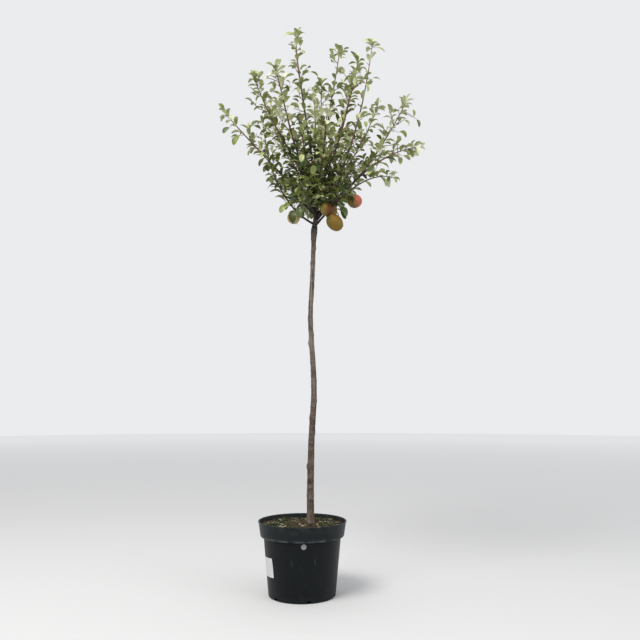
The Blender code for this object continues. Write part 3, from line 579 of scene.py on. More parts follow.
class Growth:
    """Twigs and leaves of one limb, kept from running through each other."""

    def __init__(self, index, room, template):
        self.index = index
        self.limb = LIMBS[index]
        self.room = room
        self.rng = random.Random(SEED + index)
        self.corners = [vert.co.copy() for vert in template.vertices]
        self.faces = [tuple(face.vertices) for face in template.polygons]
        self.twigs = []
        self.leaves = []
        self.leaf_trees = []
        self.wood = [limb_point(self.limb, s) for s in limb_samples(self.limb, self.limb.bare, 1.0)]

    def clear_of_wood(self, points, margin):
        points = np.array([tuple(point) for point in points])
        wood = np.array([tuple(point) for point in self.wood])
        return spacing(points, wood).min() > margin

    def leaf(self, base, heading, length):
        """Grow one leaf, turned a little and smaller after each failed try."""
        rng = self.rng
        for _ in range(LEAF_TRIES):
            matrix = leaf_matrix(base, heading, leaf_facing(heading, rng), length)
            tests = [matrix @ point for point in LEAF_TESTS]
            if self.room.has_room(self.index, tests) and self.clear_of_wood(tests, LEAF_MARGIN):
                tree = BVHTree.FromPolygons([matrix @ corner for corner in self.corners], self.faces)
                if not any(tree.overlap(other) for other in self.leaf_trees):
                    self.leaves.append(matrix)
                    self.leaf_trees.append(tree)
                    return
            swing = Vector((rng.uniform(-1, 1), rng.uniform(-1, 1), rng.uniform(-0.8, 1)))
            heading = (heading + swing * LEAF_SWING).normalized()
            length *= LEAF_SHRINK

    def twig(self, base, heading, length, bend):
        """Grow one side twig, shorter after each failed try."""
        for shorten in TWIG_SHORTENINGS:
            way = twig_way(base, heading, length * shorten, bend)
            tests = [along(way, share)[0] for share in TWIG_TEST_SHARES]
            if not self.room.has_room(self.index, tests) or not self.clear_of_wood(tests, TWIG_MARGIN):
                continue
            near = [tree.find_nearest(point)[3] for tree in self.leaf_trees for point in tests]
            if near and min(near) < TWIG_LEAF_MARGIN:
                continue
            self.twigs.append(way)
            self.wood.extend(along(way, share / 12)[0] for share in range(2, 13))
            return way
        return None

    def uneven(self):
        """A random factor about one."""
        return self.rng.uniform(1.0 - UNEVEN, 1.0 + UNEVEN)

    def splayed(self, heading, side):
        """A leaf's direction: off its twig to one side, and up or down a little."""
        splay = LEAF_SPLAY * self.uneven()
        out = heading * math.cos(splay) + side * math.sin(splay)
        return (out + UP * self.rng.uniform(*LEAF_LIFT)).normalized()

    def twig_leaves(self, way, size):
        """Leaves left and right along a twig and one at its tip."""
        length = 2.0 * (way[1] - way[0]).length
        count = max(int(length / LEAF_STEP), 2)
        flip = self.rng.choice((-1.0, 1.0))
        for k in range(1, count + 1):
            base, heading = along(way, (k - NODE_SETBACK) / count)
            out = self.splayed(heading, square_to(heading) * flip)
            self.leaf(base, out, size * self.uneven())
            flip = -flip
        base, heading = along(way, TWIG_END)
        self.leaf(base, heading, size * self.uneven())

    def spur_leaves(self, base, heading, side, size):
        """Two leaves straight from the stem."""
        for k, turn in enumerate(SPUR_TURNS):
            swing = side * math.cos(turn) + heading.cross(side) * math.sin(turn)
            out = self.splayed(heading, swing)
            self.leaf(base + heading * SPUR_STEP * k, out, size * self.uneven())

    def tip_leaves(self):
        heading = limb_heading(self.limb, 1.0)
        side = square_to(heading)
        for k, splay in enumerate(TIP_SPLAYS):
            base = limb_point(self.limb, 1.0) - heading * TIP_STEP * (k + 0.5)
            turn = k * GOLDEN_TURN
            swing = side * math.cos(turn) + heading.cross(side) * math.sin(turn)
            out = (heading + swing * splay).normalized()
            self.leaf(base, out, LEAF_LENGTH * TIP_SIZE * self.uneven())

    def run(self):
        """Grow the whole limb from its first node to its tip."""
        limb = self.limb
        rng = self.rng
        leafy = limb_length(limb) * (1.0 - limb.bare)
        nodes = max(int(leafy / limb.step), 4)
        turn = rng.uniform(0.0, 2.0 * math.pi)
        for i in range(1, nodes + 1):
            share = i / nodes
            place = limb.bare + (1.0 - limb.bare) * (i - NODE_SETBACK) / nodes
            base = limb_point(limb, place)
            heading = limb_heading(limb, place)
            turn += GOLDEN_TURN
            level = square_to(heading)
            side = level * math.cos(turn) + heading.cross(level) * math.sin(turn)
            size = LEAF_LENGTH * (1.0 - LEAF_FALLOFF * share)
            way = None
            if i % LATERAL_EVERY == 1 and share < LATERALS_UP_TO:
                length = limb.twig * self.uneven() * (1.0 - TWIG_FALLOFF * share)
                splay = TWIG_SPLAY * self.uneven()
                out = heading * math.cos(splay) + side * math.sin(splay)
                out = (out + UP * TWIG_LIFT).normalized()
                bend = Vector((rng.uniform(-1, 1), rng.uniform(-1, 1), rng.uniform(-0.5, 0.7)))
                way = self.twig(base, out, length, bend)
            if way is None:
                self.spur_leaves(base, heading, side, size)
            else:
                self.twig_leaves(way, size)
        self.tip_leaves()


def pot_outside():
    """Profile of the pot from its rim down its outer side to the axis."""
    top = POT_HEIGHT
    band = POT_HEIGHT - POT_BAND_HEIGHT
    return [
        (POT_RIM_RADIUS - 0.5 * POT_LIP, top),
        (POT_RIM_RADIUS + POT_LIP, top - POT_LIP_BEVEL),
        (POT_RIM_RADIUS + POT_LIP, top - POT_LIP_HEIGHT),
        (POT_RIM_RADIUS, top - POT_LIP_HEIGHT - POT_LIP_BEVEL),
        (POT_BAND_LOW_RADIUS, band),
        (POT_BAND_LOW_RADIUS - POT_BAND_STEP, band - POT_BAND_STEP),
        (POT_BODY_TOP_RADIUS, band - 1.5 * POT_BAND_STEP),
        (POT_BASE_RADIUS, POT_CHAMFER),
        (POT_BASE_RADIUS - POT_CHAMFER, 0.0),
        (0.0, 0.0),
    ]


def pot_inside(inset=0.0):
    """Profile of the pot's inside from the axis up, or of what fills it."""
    band = POT_HEIGHT - POT_BAND_HEIGHT
    wall = POT_WALL + inset
    return [
        (0.0, POT_FLOOR + inset),
        (POT_BASE_RADIUS - wall - POT_CHAMFER, POT_FLOOR + inset),
        (POT_BASE_RADIUS - wall, POT_FLOOR + POT_CHAMFER + inset),
        (POT_BODY_TOP_RADIUS - wall, band + inset),
        (POT_BAND_LOW_RADIUS - wall, band + 2.0 * POT_BAND_STEP + inset),
        (POT_RIM_RADIUS - wall, POT_HEIGHT - POT_BAND_STEP),
    ]


def facing_matrix(place, outward):
    """A frame whose +X faces outward and whose +Y lies level."""
    level = UP.cross(outward).normalized()
    turn = Matrix((outward, level, outward.cross(level))).transposed().to_4x4()
    return Matrix.Translation(place) @ turn


def soil_height(x, y):
    """Height of the lumpy soil surface, level where the trunk stands."""
    foot = trunk_point(TRUNK_FOOT)
    near = math.hypot(x - foot.x, y - foot.y)
    ease = min(max((near - SOIL_FLAT_RADIUS) / SOIL_EASE, 0.0), 1.0)
    lumps = sum(high * math.sin(across * x + shift) * math.sin(deep * y + slip)
                for high, across, shift, deep, slip in SOIL_LUMPS)
    edge = (math.hypot(x, y) / POT_RIM_RADIUS) ** 2
    return SOIL_LEVEL + ease * (SOIL_ROUGHNESS * lumps - SOIL_EDGE_DROP * edge)


def fruit_frame(fruit):
    """Where a fruit hangs: its centre, with its stalk's end to +Z."""
    return Matrix.Translation(fruit.centre) @ Matrix.Rotation(math.radians(fruit.tilt), 4, "Y")


class OpenRoom:
    """The crown's whole space, where growth keeps clear of wood and fruit only."""

    def __init__(self, room):
        self.wood = room.wood
        self.radii = room.radii
        self.low, self.high = [np.array(corner) for corner in CAD_BOX]
        self.low[2] = CROWN_FOOT

    def has_room(self, index, points):
        points = np.array([tuple(point) for point in points])
        if (points < self.low).any() or (points > self.high).any():
            return False
        return (spacing(points, self.wood) - self.radii).min() > OPEN_MARGIN


def nearness(spots, place):
    """Sum of each spot's strength, which fades with the level distance across the view."""
    return sum(strength * math.exp(-((place.x - x) ** 2 + (place.z - z) ** 2) / size ** 2)
               for x, z, size, strength in spots)


def open_share(place):
    """Share of the leaves that a place goes without."""
    return min(nearness(OPENINGS, place), 1.0)


class FineGrowth(Growth):
    """The same growth, carried on to spurs and small leaves at every node."""

    def __init__(self, index, room, open_room, template):
        super().__init__(index, room, template)
        self.open_room = open_room
        self.spurs = []
        self.sprays = []

    def run(self):
        super().run()
        self.room = self.open_room
        self.rng = random.Random(FINE_SEED + self.index)
        self.open_gaps()
        self.fine_twigs()
        self.sprays = [0] * len(self.leaves)
        self.tip_tuft()
        turn = self.rng.uniform(0.0, 2.0 * math.pi)
        for i, (place, heading, radius, spray) in enumerate(self.fine_nodes()):
            turn += GOLDEN_TURN
            if self.rng.random() < open_share(place):
                continue
            level = square_to(heading)
            side = level * math.cos(turn) + heading.cross(level) * math.sin(turn)
            if i % SPURLET_EVERY == 0:
                self.spurlet(place + side * radius * 0.6, heading, side)
            else:
                self.small_leaf(place + side * radius * 0.5, heading, side)
            self.sprays.extend([spray] * (len(self.leaves) - len(self.sprays)))

    def open_gaps(self):
        """Drop leaves where the crown has its gaps."""
        kept = [(leaf, tree) for leaf, tree in zip(self.leaves, self.leaf_trees)
                if self.rng.random() >= open_share(leaf.translation)]
        self.leaves = [leaf for leaf, _ in kept]
        self.leaf_trees = [tree for _, tree in kept]

    def tip_tuft(self):
        """More leaves round the limb's tip, which stand well out."""
        heading = limb_heading(self.limb, 1.0)
        level = square_to(heading)
        turn = self.rng.uniform(0.0, 2.0 * math.pi)
        for k in range(TUFT_LEAVES):
            turn += GOLDEN_TURN
            side = level * math.cos(turn) + heading.cross(level) * math.sin(turn)
            base = limb_point(self.limb, 1.0) - heading * TIP_STEP * (0.3 + k)
            self.leaf(base, (heading * 0.25 + side).normalized(), TUFT_LEAF * self.uneven())
            self.sprays.extend([0] * (len(self.leaves) - len(self.sprays)))

    def fine_twigs(self):
        """Slender side twigs between the source's, which fill the crown."""
        limb = self.limb
        rng = self.rng
        count = int(limb_length(limb) * (1.0 - limb.bare) / FINE_TWIG_STEP)
        turn = rng.uniform(0.0, 2.0 * math.pi)
        for i in range(count):
            share = (i + 0.7) / count
            if share > LATERALS_UP_TO:
                break
            place = limb.bare + (1.0 - limb.bare) * share
            heading = limb_heading(limb, place)
            turn += GOLDEN_TURN
            level = square_to(heading)
            side = level * math.cos(turn) + heading.cross(level) * math.sin(turn)
            out = (heading * rng.uniform(0.2, 0.9) + side + UP * rng.uniform(-0.1, 0.3)).normalized()
            length = limb.twig * FINE_TWIG_LENGTH * self.uneven() * (1.0 - TWIG_FALLOFF * share)
            bend = Vector((rng.uniform(-1, 1), rng.uniform(-1, 1), rng.uniform(-1.2, 0.6)))
            base = limb_point(limb, place)
            if not self.sparse(base) and share > BARE_UP_TO.get(limb.name, 0.0):
                self.twig(base, out, length, bend)

    def fine_nodes(self):
        """Place, heading, radius and spray of each fine node."""
        limb = self.limb
        start = 0.0 if limb.bare > 0.0 else 0.1
        count = max(int(limb_length(limb) * (1.0 - start) / HEART_STEP), 4)
        nodes = []
        for i in range(count):
            share = start + (1.0 - start) * (i + 0.5) / count
            place = limb_point(limb, share)
            if i % self.thinning(place) or share < BARE_UP_TO.get(limb.name, 0.0):
                continue
            if place.z > LEAVES_FROM:
                nodes.append((place, limb_heading(limb, share), limb_radius(limb, share), 0))
        for k, way in enumerate(self.twigs):
            length = sum((b - a).length for a, b in zip(way, way[1:]))
            count = max(int(length / FINE_STEP), 2)
            for i in range(count):
                place, heading = along(way, (i + 0.5) / count)
                nodes.append((place, heading, TWIG_RADIUS, k + 1))
        return nodes

    def thinning(self, place):
        """How many places along the limb go to one that bears leaves."""
        if place.z < HEART_TOP or nearness(FULL_SPOTS, place) > 0.5:
            return 1
        return SPARSE_THINNING if self.sparse(place) else THINNING

    def sparse(self, place):
        return place.z > SPARSE_ABOVE.get(self.limb.name, CROWN_TOP)

    def small_leaf(self, base, heading, side):
        rng = self.rng
        splay = LEAF_SPLAY * rng.uniform(1.0, 1.75)
        out = heading * math.cos(splay) + side * math.sin(splay) + UP * rng.uniform(-0.1, 0.3)
        spread = rng.uniform(1.0 - SMALL_LEAF_SPREAD, 1.0 + SMALL_LEAF_SPREAD)
        self.leaf(base, out.normalized(), self.leaf_size(base) * spread)

    def leaf_size(self, base):
        """Small leaves get larger down in the crown."""
        low = min(max((CROWN_TOP - base.z) / (CROWN_TOP - LEAVES_FROM), 0.0), 1.0)
        return SMALL_LEAF * (1.0 + LOW_LEAF_GAIN * low)

    def spurlet(self, base, heading, side):
        """A short spur with a tuft of leaves at its end."""
        rng = self.rng
        out = (heading * 0.5 + side + UP * 0.3).normalized()
        length = SPURLET_LENGTH * rng.uniform(0.5, 1.3)
        end = base + out * length
        if not self.room.has_room(self.index, [base.lerp(end, 0.6), end]):
            return
        self.spurs.append((base, end))
        level = square_to(out)
        turn = rng.uniform(0.0, 2.0 * math.pi)
        for _ in range(SPURLET_LEAVES):
            turn += GOLDEN_TURN
            swing = level * math.cos(turn) + out.cross(level) * math.sin(turn)
            aim = (out + swing * rng.uniform(0.4, 1.0)).normalized()
            self.leaf(end, aim, self.leaf_size(end) * rng.uniform(0.9, 1.3))


def srgb(red, green, blue):
    """A colour given as on a screen, from 0 to 255, in linear light."""
    parts = [part / 255.0 for part in (red, green, blue)]
    parts = [part / 12.92 if part <= 0.04045 else ((part + 0.055) / 1.055) ** 2.4 for part in parts]
    return (*parts, 1.0)


def plain_material(name, colour, roughness, specular=0.5):
    mat = bpy.data.materials.new(name)
    mat.use_nodes = True
    shader = mat.node_tree.nodes["Principled BSDF"]
    shader.inputs["Base Color"].default_value = colour
    shader.inputs["Roughness"].default_value = roughness
    shader.inputs["Specular IOR Level"].default_value = specular
    return mat


class Nodes:
    """A material whose colour, roughness and bump come from nodes."""

    def __init__(self, name, roughness, specular=0.5):
        self.mat = plain_material(name, (0.5, 0.5, 0.5, 1.0), roughness, specular)
        self.tree = self.mat.node_tree
        self.shader = self.tree.nodes["Principled BSDF"]
        self.coords = self.add("ShaderNodeTexCoord").outputs["Object"]

    def add(self, kind, **settings):
        node = self.tree.nodes.new(kind)
        for key, value in settings.items():
            setattr(node, key, value)
        return node

    def link(self, source, target):
        self.tree.links.new(source, target)

    def put(self, node, name, value):
        """Set or link one input."""
        if isinstance(value, bpy.types.NodeSocket):
            self.link(value, node.inputs[name])
        else:
            node.inputs[name].default_value = value

    def stretched(self, scale):
        mapping = self.add("ShaderNodeMapping")
        self.link(self.coords, mapping.inputs["Vector"])
        mapping.inputs["Scale"].default_value = scale
        return mapping.outputs["Vector"]

    def noise(self, scale, detail=4.0, rough=0.55, stretch=(1.0, 1.0, 1.0)):
        node = self.add("ShaderNodeTexNoise")
        self.link(self.stretched(stretch), node.inputs["Vector"])
        node.inputs["Scale"].default_value = scale
        node.inputs["Detail"].default_value = detail
        node.inputs["Roughness"].default_value = rough
        return node.outputs["Fac"]

    def cells(self, scale, stretch=(1.0, 1.0, 1.0)):
        node = self.add("ShaderNodeTexVoronoi")
        self.link(self.stretched(stretch), node.inputs["Vector"])
        node.inputs["Scale"].default_value = scale
        return node.outputs["Distance"]

    def ramp(self, fac, stops):
        node = self.add("ShaderNodeValToRGB")
        while len(node.color_ramp.elements) < len(stops):
            node.color_ramp.elements.new(0.5)
        for element, (place, colour) in zip(node.color_ramp.elements, stops):
            element.position = place
            element.color = colour
        self.link(fac, node.inputs["Fac"])
        return node.outputs["Color"]

    def level(self, fac, low, high):
        """A grey ramp from black at low to white at high, which may be the smaller one."""
        return self.ramp(fac, sorted(((low, (0, 0, 0, 1)), (high, (1, 1, 1, 1)))))

    def mix(self, fac, first, second, blend="MIX"):
        node = self.add("ShaderNodeMix", data_type="RGBA", blend_type=blend)
        self.put(node, 0, fac)
        self.put(node, 6, first)
        self.put(node, 7, second)
        return node.outputs[2]

    def axis(self, name):
        node = self.add("ShaderNodeSeparateXYZ")
        self.link(self.coords, node.inputs[0])
        return node.outputs[name]

    def sum(self, first, second, kind="ADD"):
        node = self.add("ShaderNodeMath", operation=kind)
        self.put(node, 0, first)
        self.put(node, 1, second)
        return node.outputs[0]

    def reach(self, centre=(0.0, 0.0)):
        """Level distance from an upright line through a centre."""
        steps = [self.sum(self.axis(name), -place) for name, place in zip("XY", centre)]
        squares = [self.sum(step, step, "MULTIPLY") for step in steps]
        return self.sum(self.sum(*squares), 0.5, "POWER")

    def bump(self, height, strength, distance):
        node = self.add("ShaderNodeBump")
        node.inputs["Strength"].default_value = strength
        node.inputs["Distance"].default_value = distance
        self.link(height, node.inputs["Height"])
        self.link(node.outputs["Normal"], self.shader.inputs["Normal"])

    def colour(self, value):
        self.put(self.shader, "Base Color", value)

    def roughness(self, fac, low, high):
        spread = self.sum(self.sum(fac, high - low, "MULTIPLY"), low)
        self.link(spread, self.shader.inputs["Roughness"])


class Joined:
    """Many small shapes gathered into one mesh."""

    def __init__(self):
        self.blocks = []
        self.faces = []
        self.count = 0

    def add(self, points, faces):
        points = np.asarray(points, float)
        self.blocks.append(points)
        self.faces.extend(tuple(corner + self.count for corner in face) for face in faces)
        self.count += len(points)

    def piece(self, name, mat, slot, smooth=True, replaced=()):
        mesh = bpy.data.meshes.new(name)
        mesh.from_pydata(np.concatenate(self.blocks).tolist(), [], self.faces)
        mesh.validate()
        return add_piece(name, mesh, mat, smooth, replaced)


def add_piece(name, mesh, mat, smooth=True, replaced=()):
    """Show a mesh as one piece of the plant."""
    obj = bpy.data.objects.new(name, mesh)
    bpy.context.scene.collection.objects.link(obj)
    mesh.materials.clear()
    mesh.materials.append(mat)
    mesh.polygons.foreach_set("use_smooth", [smooth] * len(mesh.polygons))
    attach(obj, BODY)
    if replaced:
        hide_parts(*replaced)
    return obj


def evaluated_copy(obj):
    """The mesh that an object's modifiers make."""
    bpy.context.view_layer.update()
    graph = bpy.context.evaluated_depsgraph_get()
    return bpy.data.meshes.new_from_object(obj.evaluated_get(graph))


def tube(points, radii, sides, relief=None):
    """Points and faces of a closed tube along a line, with an optional relief."""
    points = [Vector(point) for point in points]
    rings = []
    side = square_to((points[1] - points[0]).normalized())
    for i, point in enumerate(points):
        before = points[max(i - 1, 0)]
        after = points[min(i + 1, len(points) - 1)]
        heading = (after - before).normalized()
        side = (side - heading * side.dot(heading)).normalized()
        other = heading.cross(side)
        for k in range(sides):
            turn = 2.0 * math.pi * k / sides
            out = side * math.cos(turn) + other * math.sin(turn)
            grow = radii[i] + (relief(point, out, i) if relief else 0.0)
            rings.append(point + out * grow)
    faces = []
    for i in range(len(points) - 1):
        low = i * sides
        for k in range(sides):
            near = (k + 1) % sides
            faces.append((low + k, low + near, low + sides + near, low + sides + k))
    faces.append(tuple(reversed(range(sides))))
    last = (len(points) - 1) * sides
    faces.append(tuple(last + k for k in range(sides)))
    return rings, faces


def knot_bulge(place, out):
    """How far the pruned knots stand out of the trunk at one spot."""
    turn = math.atan2(out.y, out.x)
    bulge = 0.0
    for height, knot_turn, size, length in KNOTS:
        away = (place.z - height) / length
        if abs(away) < 3.0:
            swing = math.remainder(turn - math.radians(knot_turn), 2.0 * math.pi) / 0.55
            bulge += size * math.exp(-away ** 2 - swing ** 2)
    return bulge


def bark_relief(place, out, ring):
    """Ridges along the trunk, cross cracks, lumps and knots."""
    turn = math.atan2(out.y, out.x)
    ridge = noise.noise(Vector((3.2 * math.cos(turn), 3.2 * math.sin(turn), place.z * 26.0)))
    lump = noise.noise(Vector((1.1 * math.cos(turn), 1.1 * math.sin(turn), place.z * 60.0 + 7.0)))
    crack = noise.noise(Vector((2.0 * math.cos(turn), 2.0 * math.sin(turn), place.z * 230.0)))
    return 0.00055 * ridge + 0.0006 * lump + 0.00022 * crack + knot_bulge(place, out)


# Trunk tones by height; from 1.205 up they darken as painted shade under the crown.
BARK_AND_SHADE_TONES = (          # height, colour
    (0.25, (44, 38, 28)),
    (0.28, (58, 49, 38)),
    (0.31, (108, 90, 72)),
    (0.36, (94, 78, 64)),
    (0.45, (78, 62, 50)),
    (0.55, (70, 54, 43)),
    (0.62, (80, 62, 52)),
    (0.70, (96, 80, 71)),
    (0.80, (104, 93, 84)),
    (0.95, (110, 102, 95)),
    (1.10, (112, 102, 92)),
    (1.17, (114, 101, 90)),
    (1.205, (98, 84, 73)),
    (1.25, (68, 57, 49)),
    (1.29, (38, 32, 29)),
)


def trunk_material():
    nodes = Nodes("trunk_bark", 0.8, 0.25)
    drift = nodes.sum(nodes.noise(9.0, 3.0), 0.16, "MULTIPLY")
    wander = nodes.sum(nodes.axis("Z"), drift)
    base = nodes.ramp(nodes.sum(wander, 1.0 / TRUNK_TIP, "MULTIPLY"), [
        (height / TRUNK_TIP, srgb(*colour)) for height, colour in BARK_AND_SHADE_TONES])
    fissure = nodes.noise(85.0, 6.0, 0.65, (1.0, 1.0, 0.10))
    dark = nodes.mix(nodes.level(fissure, 0.38, 0.58), srgb(46, 38, 33), base)
    speck = nodes.noise(260.0, 2.0, 0.5, (1.0, 1.0, 0.7))
    pale = nodes.mix(nodes.level(speck, 0.63, 0.70), dark, srgb(134, 124, 112))
    band = nodes.noise(50.0, 3.0, 0.6, (0.4, 0.4, 1.6))
    nodes.colour(nodes.mix(nodes.sum(nodes.level(band, 0.40, 0.70), 0.45, "MULTIPLY"), pale,
                           srgb(122, 113, 104)))
    nodes.roughness(fissure, 0.68, 0.92)
    nodes.bump(nodes.sum(fissure, speck), 0.5, 0.0008)
    return nodes.mat


def build_trunk():
    count = int((TRUNK_TIP - TRUNK_FOOT) / TRUNK_STEP)
    heights = [TRUNK_FOOT + (TRUNK_TIP - TRUNK_FOOT) * i / count for i in range(count + 1)]
    points = [trunk_point(height) for height in heights]
    radii = [trunk_radius(height) for height in heights]
    wood = Joined()
    wood.add(*tube(points, radii, TRUNK_SIDES, bark_relief))
    wood.piece("trunk_bark", trunk_material(), "bark", True, ["trunk"])
    build_scars()


def build_scars():
    """A small dark scar on each knot of the trunk."""
    scars = Joined()
    for height, turn, size, length in KNOTS:
        away = Vector((math.cos(math.radians(turn)), math.sin(math.radians(turn)), 0.0))
        place = trunk_point(height) + away * (trunk_radius(height) + size * SCAR_SEAT)
        shape = bmesh.new()
        bmesh.ops.create_uvsphere(shape, u_segments=12, v_segments=8, radius=1.0)
        bmesh.ops.scale(shape, vec=(SCAR_DEPTH, SCAR_WIDTH, SCAR_HEIGHT), verts=shape.verts)
        at = facing_matrix(place, away)
        for vert in shape.verts:
            vert.co = at @ (vert.co * (1.0 + 0.35 * noise.noise(vert.co * 700.0 + place * 90.0)))
        shape.verts.index_update()
        scars.add([vert.co for vert in shape.verts], [tuple(v.index for v in f.verts) for f in shape.faces])
        shape.free()
    scars.piece("trunk_scars", plain_material("trunk_scars", srgb(40, 32, 28), 0.85, 0.2), "bark")


# Bough bark in dark tones, which paint the shade at the fork under the crown.
def bough_material():
    nodes = Nodes("bough_bark", 0.7, 0.3)
    base = nodes.ramp(nodes.noise(30.0, 4.0), ((0.35, srgb(40, 33, 29)), (0.65, srgb(70, 56, 48))))
    fissure = nodes.noise(160.0, 5.0, 0.6)
    nodes.colour(nodes.mix(nodes.level(fissure, 0.38, 0.58), srgb(30, 25, 22), base))
    nodes.roughness(fissure, 0.6, 0.85)
    nodes.bump(fissure, 0.5, 0.0006)
    return nodes.mat


def node_swell(limb, share):
    """The slight swelling of a stem at each of its nodes."""
    count = limb_length(limb) / 0.016
    return 0.10 * max(math.cos(2.0 * math.pi * share * count), 0.0) ** 4


def collar(limb, share):
    """How much a limb widens where it leaves the trunk."""
    return COLLAR_SWELL * math.exp(-share * limb_length(limb) / COLLAR_LENGTH)


def limb_part(wood, limb, start, end, sides, step):
    length = limb_length(limb) * (end - start)
    count = max(int(length / step), 6)
    shares = [start + (end - start) * i / count for i in range(count + 1)]
    points = [limb_point(limb, share) for share in shares]
    radii = [limb_radius(limb, share) * (1.0 + node_swell(limb, share) + collar(limb, share)) for share in shares]

    def relief(place, out, ring):
        return 0.10 * radii[ring] * noise.noise(place * 180.0 + out * 2.0)

    wood.add(*tube(points, radii, sides, relief))


STEM_TONES = (
    ("red", (88, 58, 46)),
    ("brown", (76, 60, 45)),
    ("purple", (92, 64, 58)),
    ("dark", (50, 41, 34)),
)


def build_wood(growths):
    """Boughs, leafy stems, twigs and spurs."""
    boughs = Joined()
    stems = [Joined() for _ in STEM_TONES]
    twigs = Joined()
    for growth in growths:
        limb = growth.limb
        if limb.bare > 0.0:
            limb_part(boughs, limb, 0.0, limb.bare + 0.004, 14, 0.004)
        tone = 2 if limb.name == "right_leader" else growth.index % 2
        dark_end = limb.bare + (1.0 - limb.bare) * DARK_STEM_SHARE
        # the lower part of each stem takes the dark tone: painted shade near the fork
        limb_part(stems[-1], limb, limb.bare, dark_end, 10, 0.005)
        limb_part(stems[tone], limb, dark_end, 1.0, 10, 0.005)
        for way in growth.twigs:
            length = sum((b - a).length for a, b in zip(way, way[1:]))
            count = max(int(length / 0.008), 4)
            points = [along(way, i / count)[0] for i in range(count + 1)]
            radii = [TWIG_RADIUS + (TWIG_TIP_RADIUS - TWIG_RADIUS) * i / count for i in range(count + 1)]
            twigs.add(*tube(points, [radius * (1.0 + 0.18 * (i % 2)) for i, radius in enumerate(radii)], 6))
        for base, end in growth.spurs:
            twigs.add(*tube([base, base.lerp(end, 0.5), end], [0.0011, 0.0009, 0.0006], 5))
    boughs.piece("boughs", bough_material(), "branch", True, [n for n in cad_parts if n.startswith("bough_")])
    for joined, (name, colour) in zip(stems, STEM_TONES):
        joined.piece("stems_" + name, plain_material("stem_" + name, srgb(*colour), 0.55, 0.35), "branch")
    twigs.piece("twigs", plain_material("twig_wood", srgb(98, 76, 50), 0.6, 0.3), "branch")


def leaf_form(rng):
    """A toothed leaf one unit long: folded along its rib, arched back and twisted."""
    bend = rng.uniform(*LEAF_BENDS)
    fold = rng.uniform(*LEAF_FOLDS)
    twist = rng.uniform(-0.35, 0.35)
    sway = rng.uniform(-0.10, 0.10)
    width = REAL_WIDTH * rng.uniform(0.88, 1.12)
    lean = 0.5 * bend - LEAF_ARCH
    half = LEAF_COLUMNS // 2
    blade = 1.0 - PETIOLE
    points = []
    for i in range(LEAF_STATIONS + 1):
        u = i / LEAF_STATIONS
        spread = 0.004
        if 0 < i < LEAF_STATIONS:
            spread = 0.5 * width * math.sin(math.pi * u) ** 0.55
            spread *= 1.0 + (LEAF_TOOTH if i % 2 else -LEAF_TOOTH)
        along_rib = PETIOLE + blade * math.sin(bend * u) / bend
        drop = blade * (1.0 - math.cos(bend * u)) / bend
        turn = twist * u
        for k in range(-half, half + 1):
            v = spread * k / half * math.cos(fold)
            rise = abs(spread * k / half) * math.sin(fold) + 0.015 * math.sin(9.0 * u + 2.0 * k)
            lift = rise * math.cos(turn) + v * math.sin(turn)
            points.append((
                along_rib + lift * math.sin(bend * u),
                v * math.cos(turn) - rise * math.sin(turn) + sway * u * u,
                lift * math.cos(bend * u) - drop,
            ))
    row = LEAF_COLUMNS + 1
    faces = [(i * row + k, (i + 1) * row + k, (i + 1) * row + k + 1, i * row + k + 1)
             for i in range(LEAF_STATIONS) for k in range(LEAF_COLUMNS)]
    stalk, stalk_faces = tube([(-0.02, 0, 0), (0.5 * PETIOLE, 0, -0.004), (1.3 * PETIOLE, 0, -0.004)],
                              [0.018, 0.015, 0.010], 3)
    count = len(points)
    faces += [tuple(corner + count for corner in face) for face in stalk_faces]
    points = np.array(points + [tuple(point) for point in stalk])
    raised = np.array(Matrix.Rotation(-lean, 3, "Y"))
    return points @ raised.T, faces


def levelled(matrix):
    """The same leaf rolled about its rib until it faces the sky more."""
    heading, _, facing = (matrix.col[k].to_3d().normalized() for k in range(3))
    heading = (heading - UP * LEAF_DROOP).normalized()
    facing = facing * (1.0 - LEAF_LEVELLING) + UP * LEAF_LEVELLING
    return leaf_matrix(matrix.translation, heading, facing, matrix.to_scale().x)


# Leaf tones from deep to pale: painted shade in the heart of the crown and painted light on its top and outside;
# bronze is the leaves' own tint.
LEAF_TONES = (
    ("deep", (58, 65, 25)),
    ("blue", (80, 95, 56)),
    ("dark", (103, 113, 53)),
    ("mid", (134, 142, 87)),
    ("fresh", (157, 163, 111)),
    ("light", (179, 184, 141)),
    ("pale", (196, 200, 163)),
    ("bronze", (136, 104, 60)),
)
CROWN_LOW = 1.15
CROWN_TALL = 0.78
CROWN_WIDE = 0.36


def leaf_light(place):
    """From 0 in the shaded heart of the crown to 1 at the limbs' tips, high and outside: the leaf tones it picks
    paint that shade and the light there.
    """
    middle = trunk_point(min(place.z, TRUNK_TIP))
    out = math.hypot(place.x - middle.x, place.y - middle.y) / CROWN_WIDE
    high = (place.z - CROWN_LOW) / CROWN_TALL
    return 0.62 * high + 0.46 * out


class HangingLeaf(NamedTuple):
    """A large leaf among the fruit or at the crown's edge, on a spur of its own."""

    limb: str
    share: float            # where its spur leaves the limb
    base: tuple
    tip: tuple
    # darker tones for leaves hanging in the crown's shade: painted shade
    tone: int


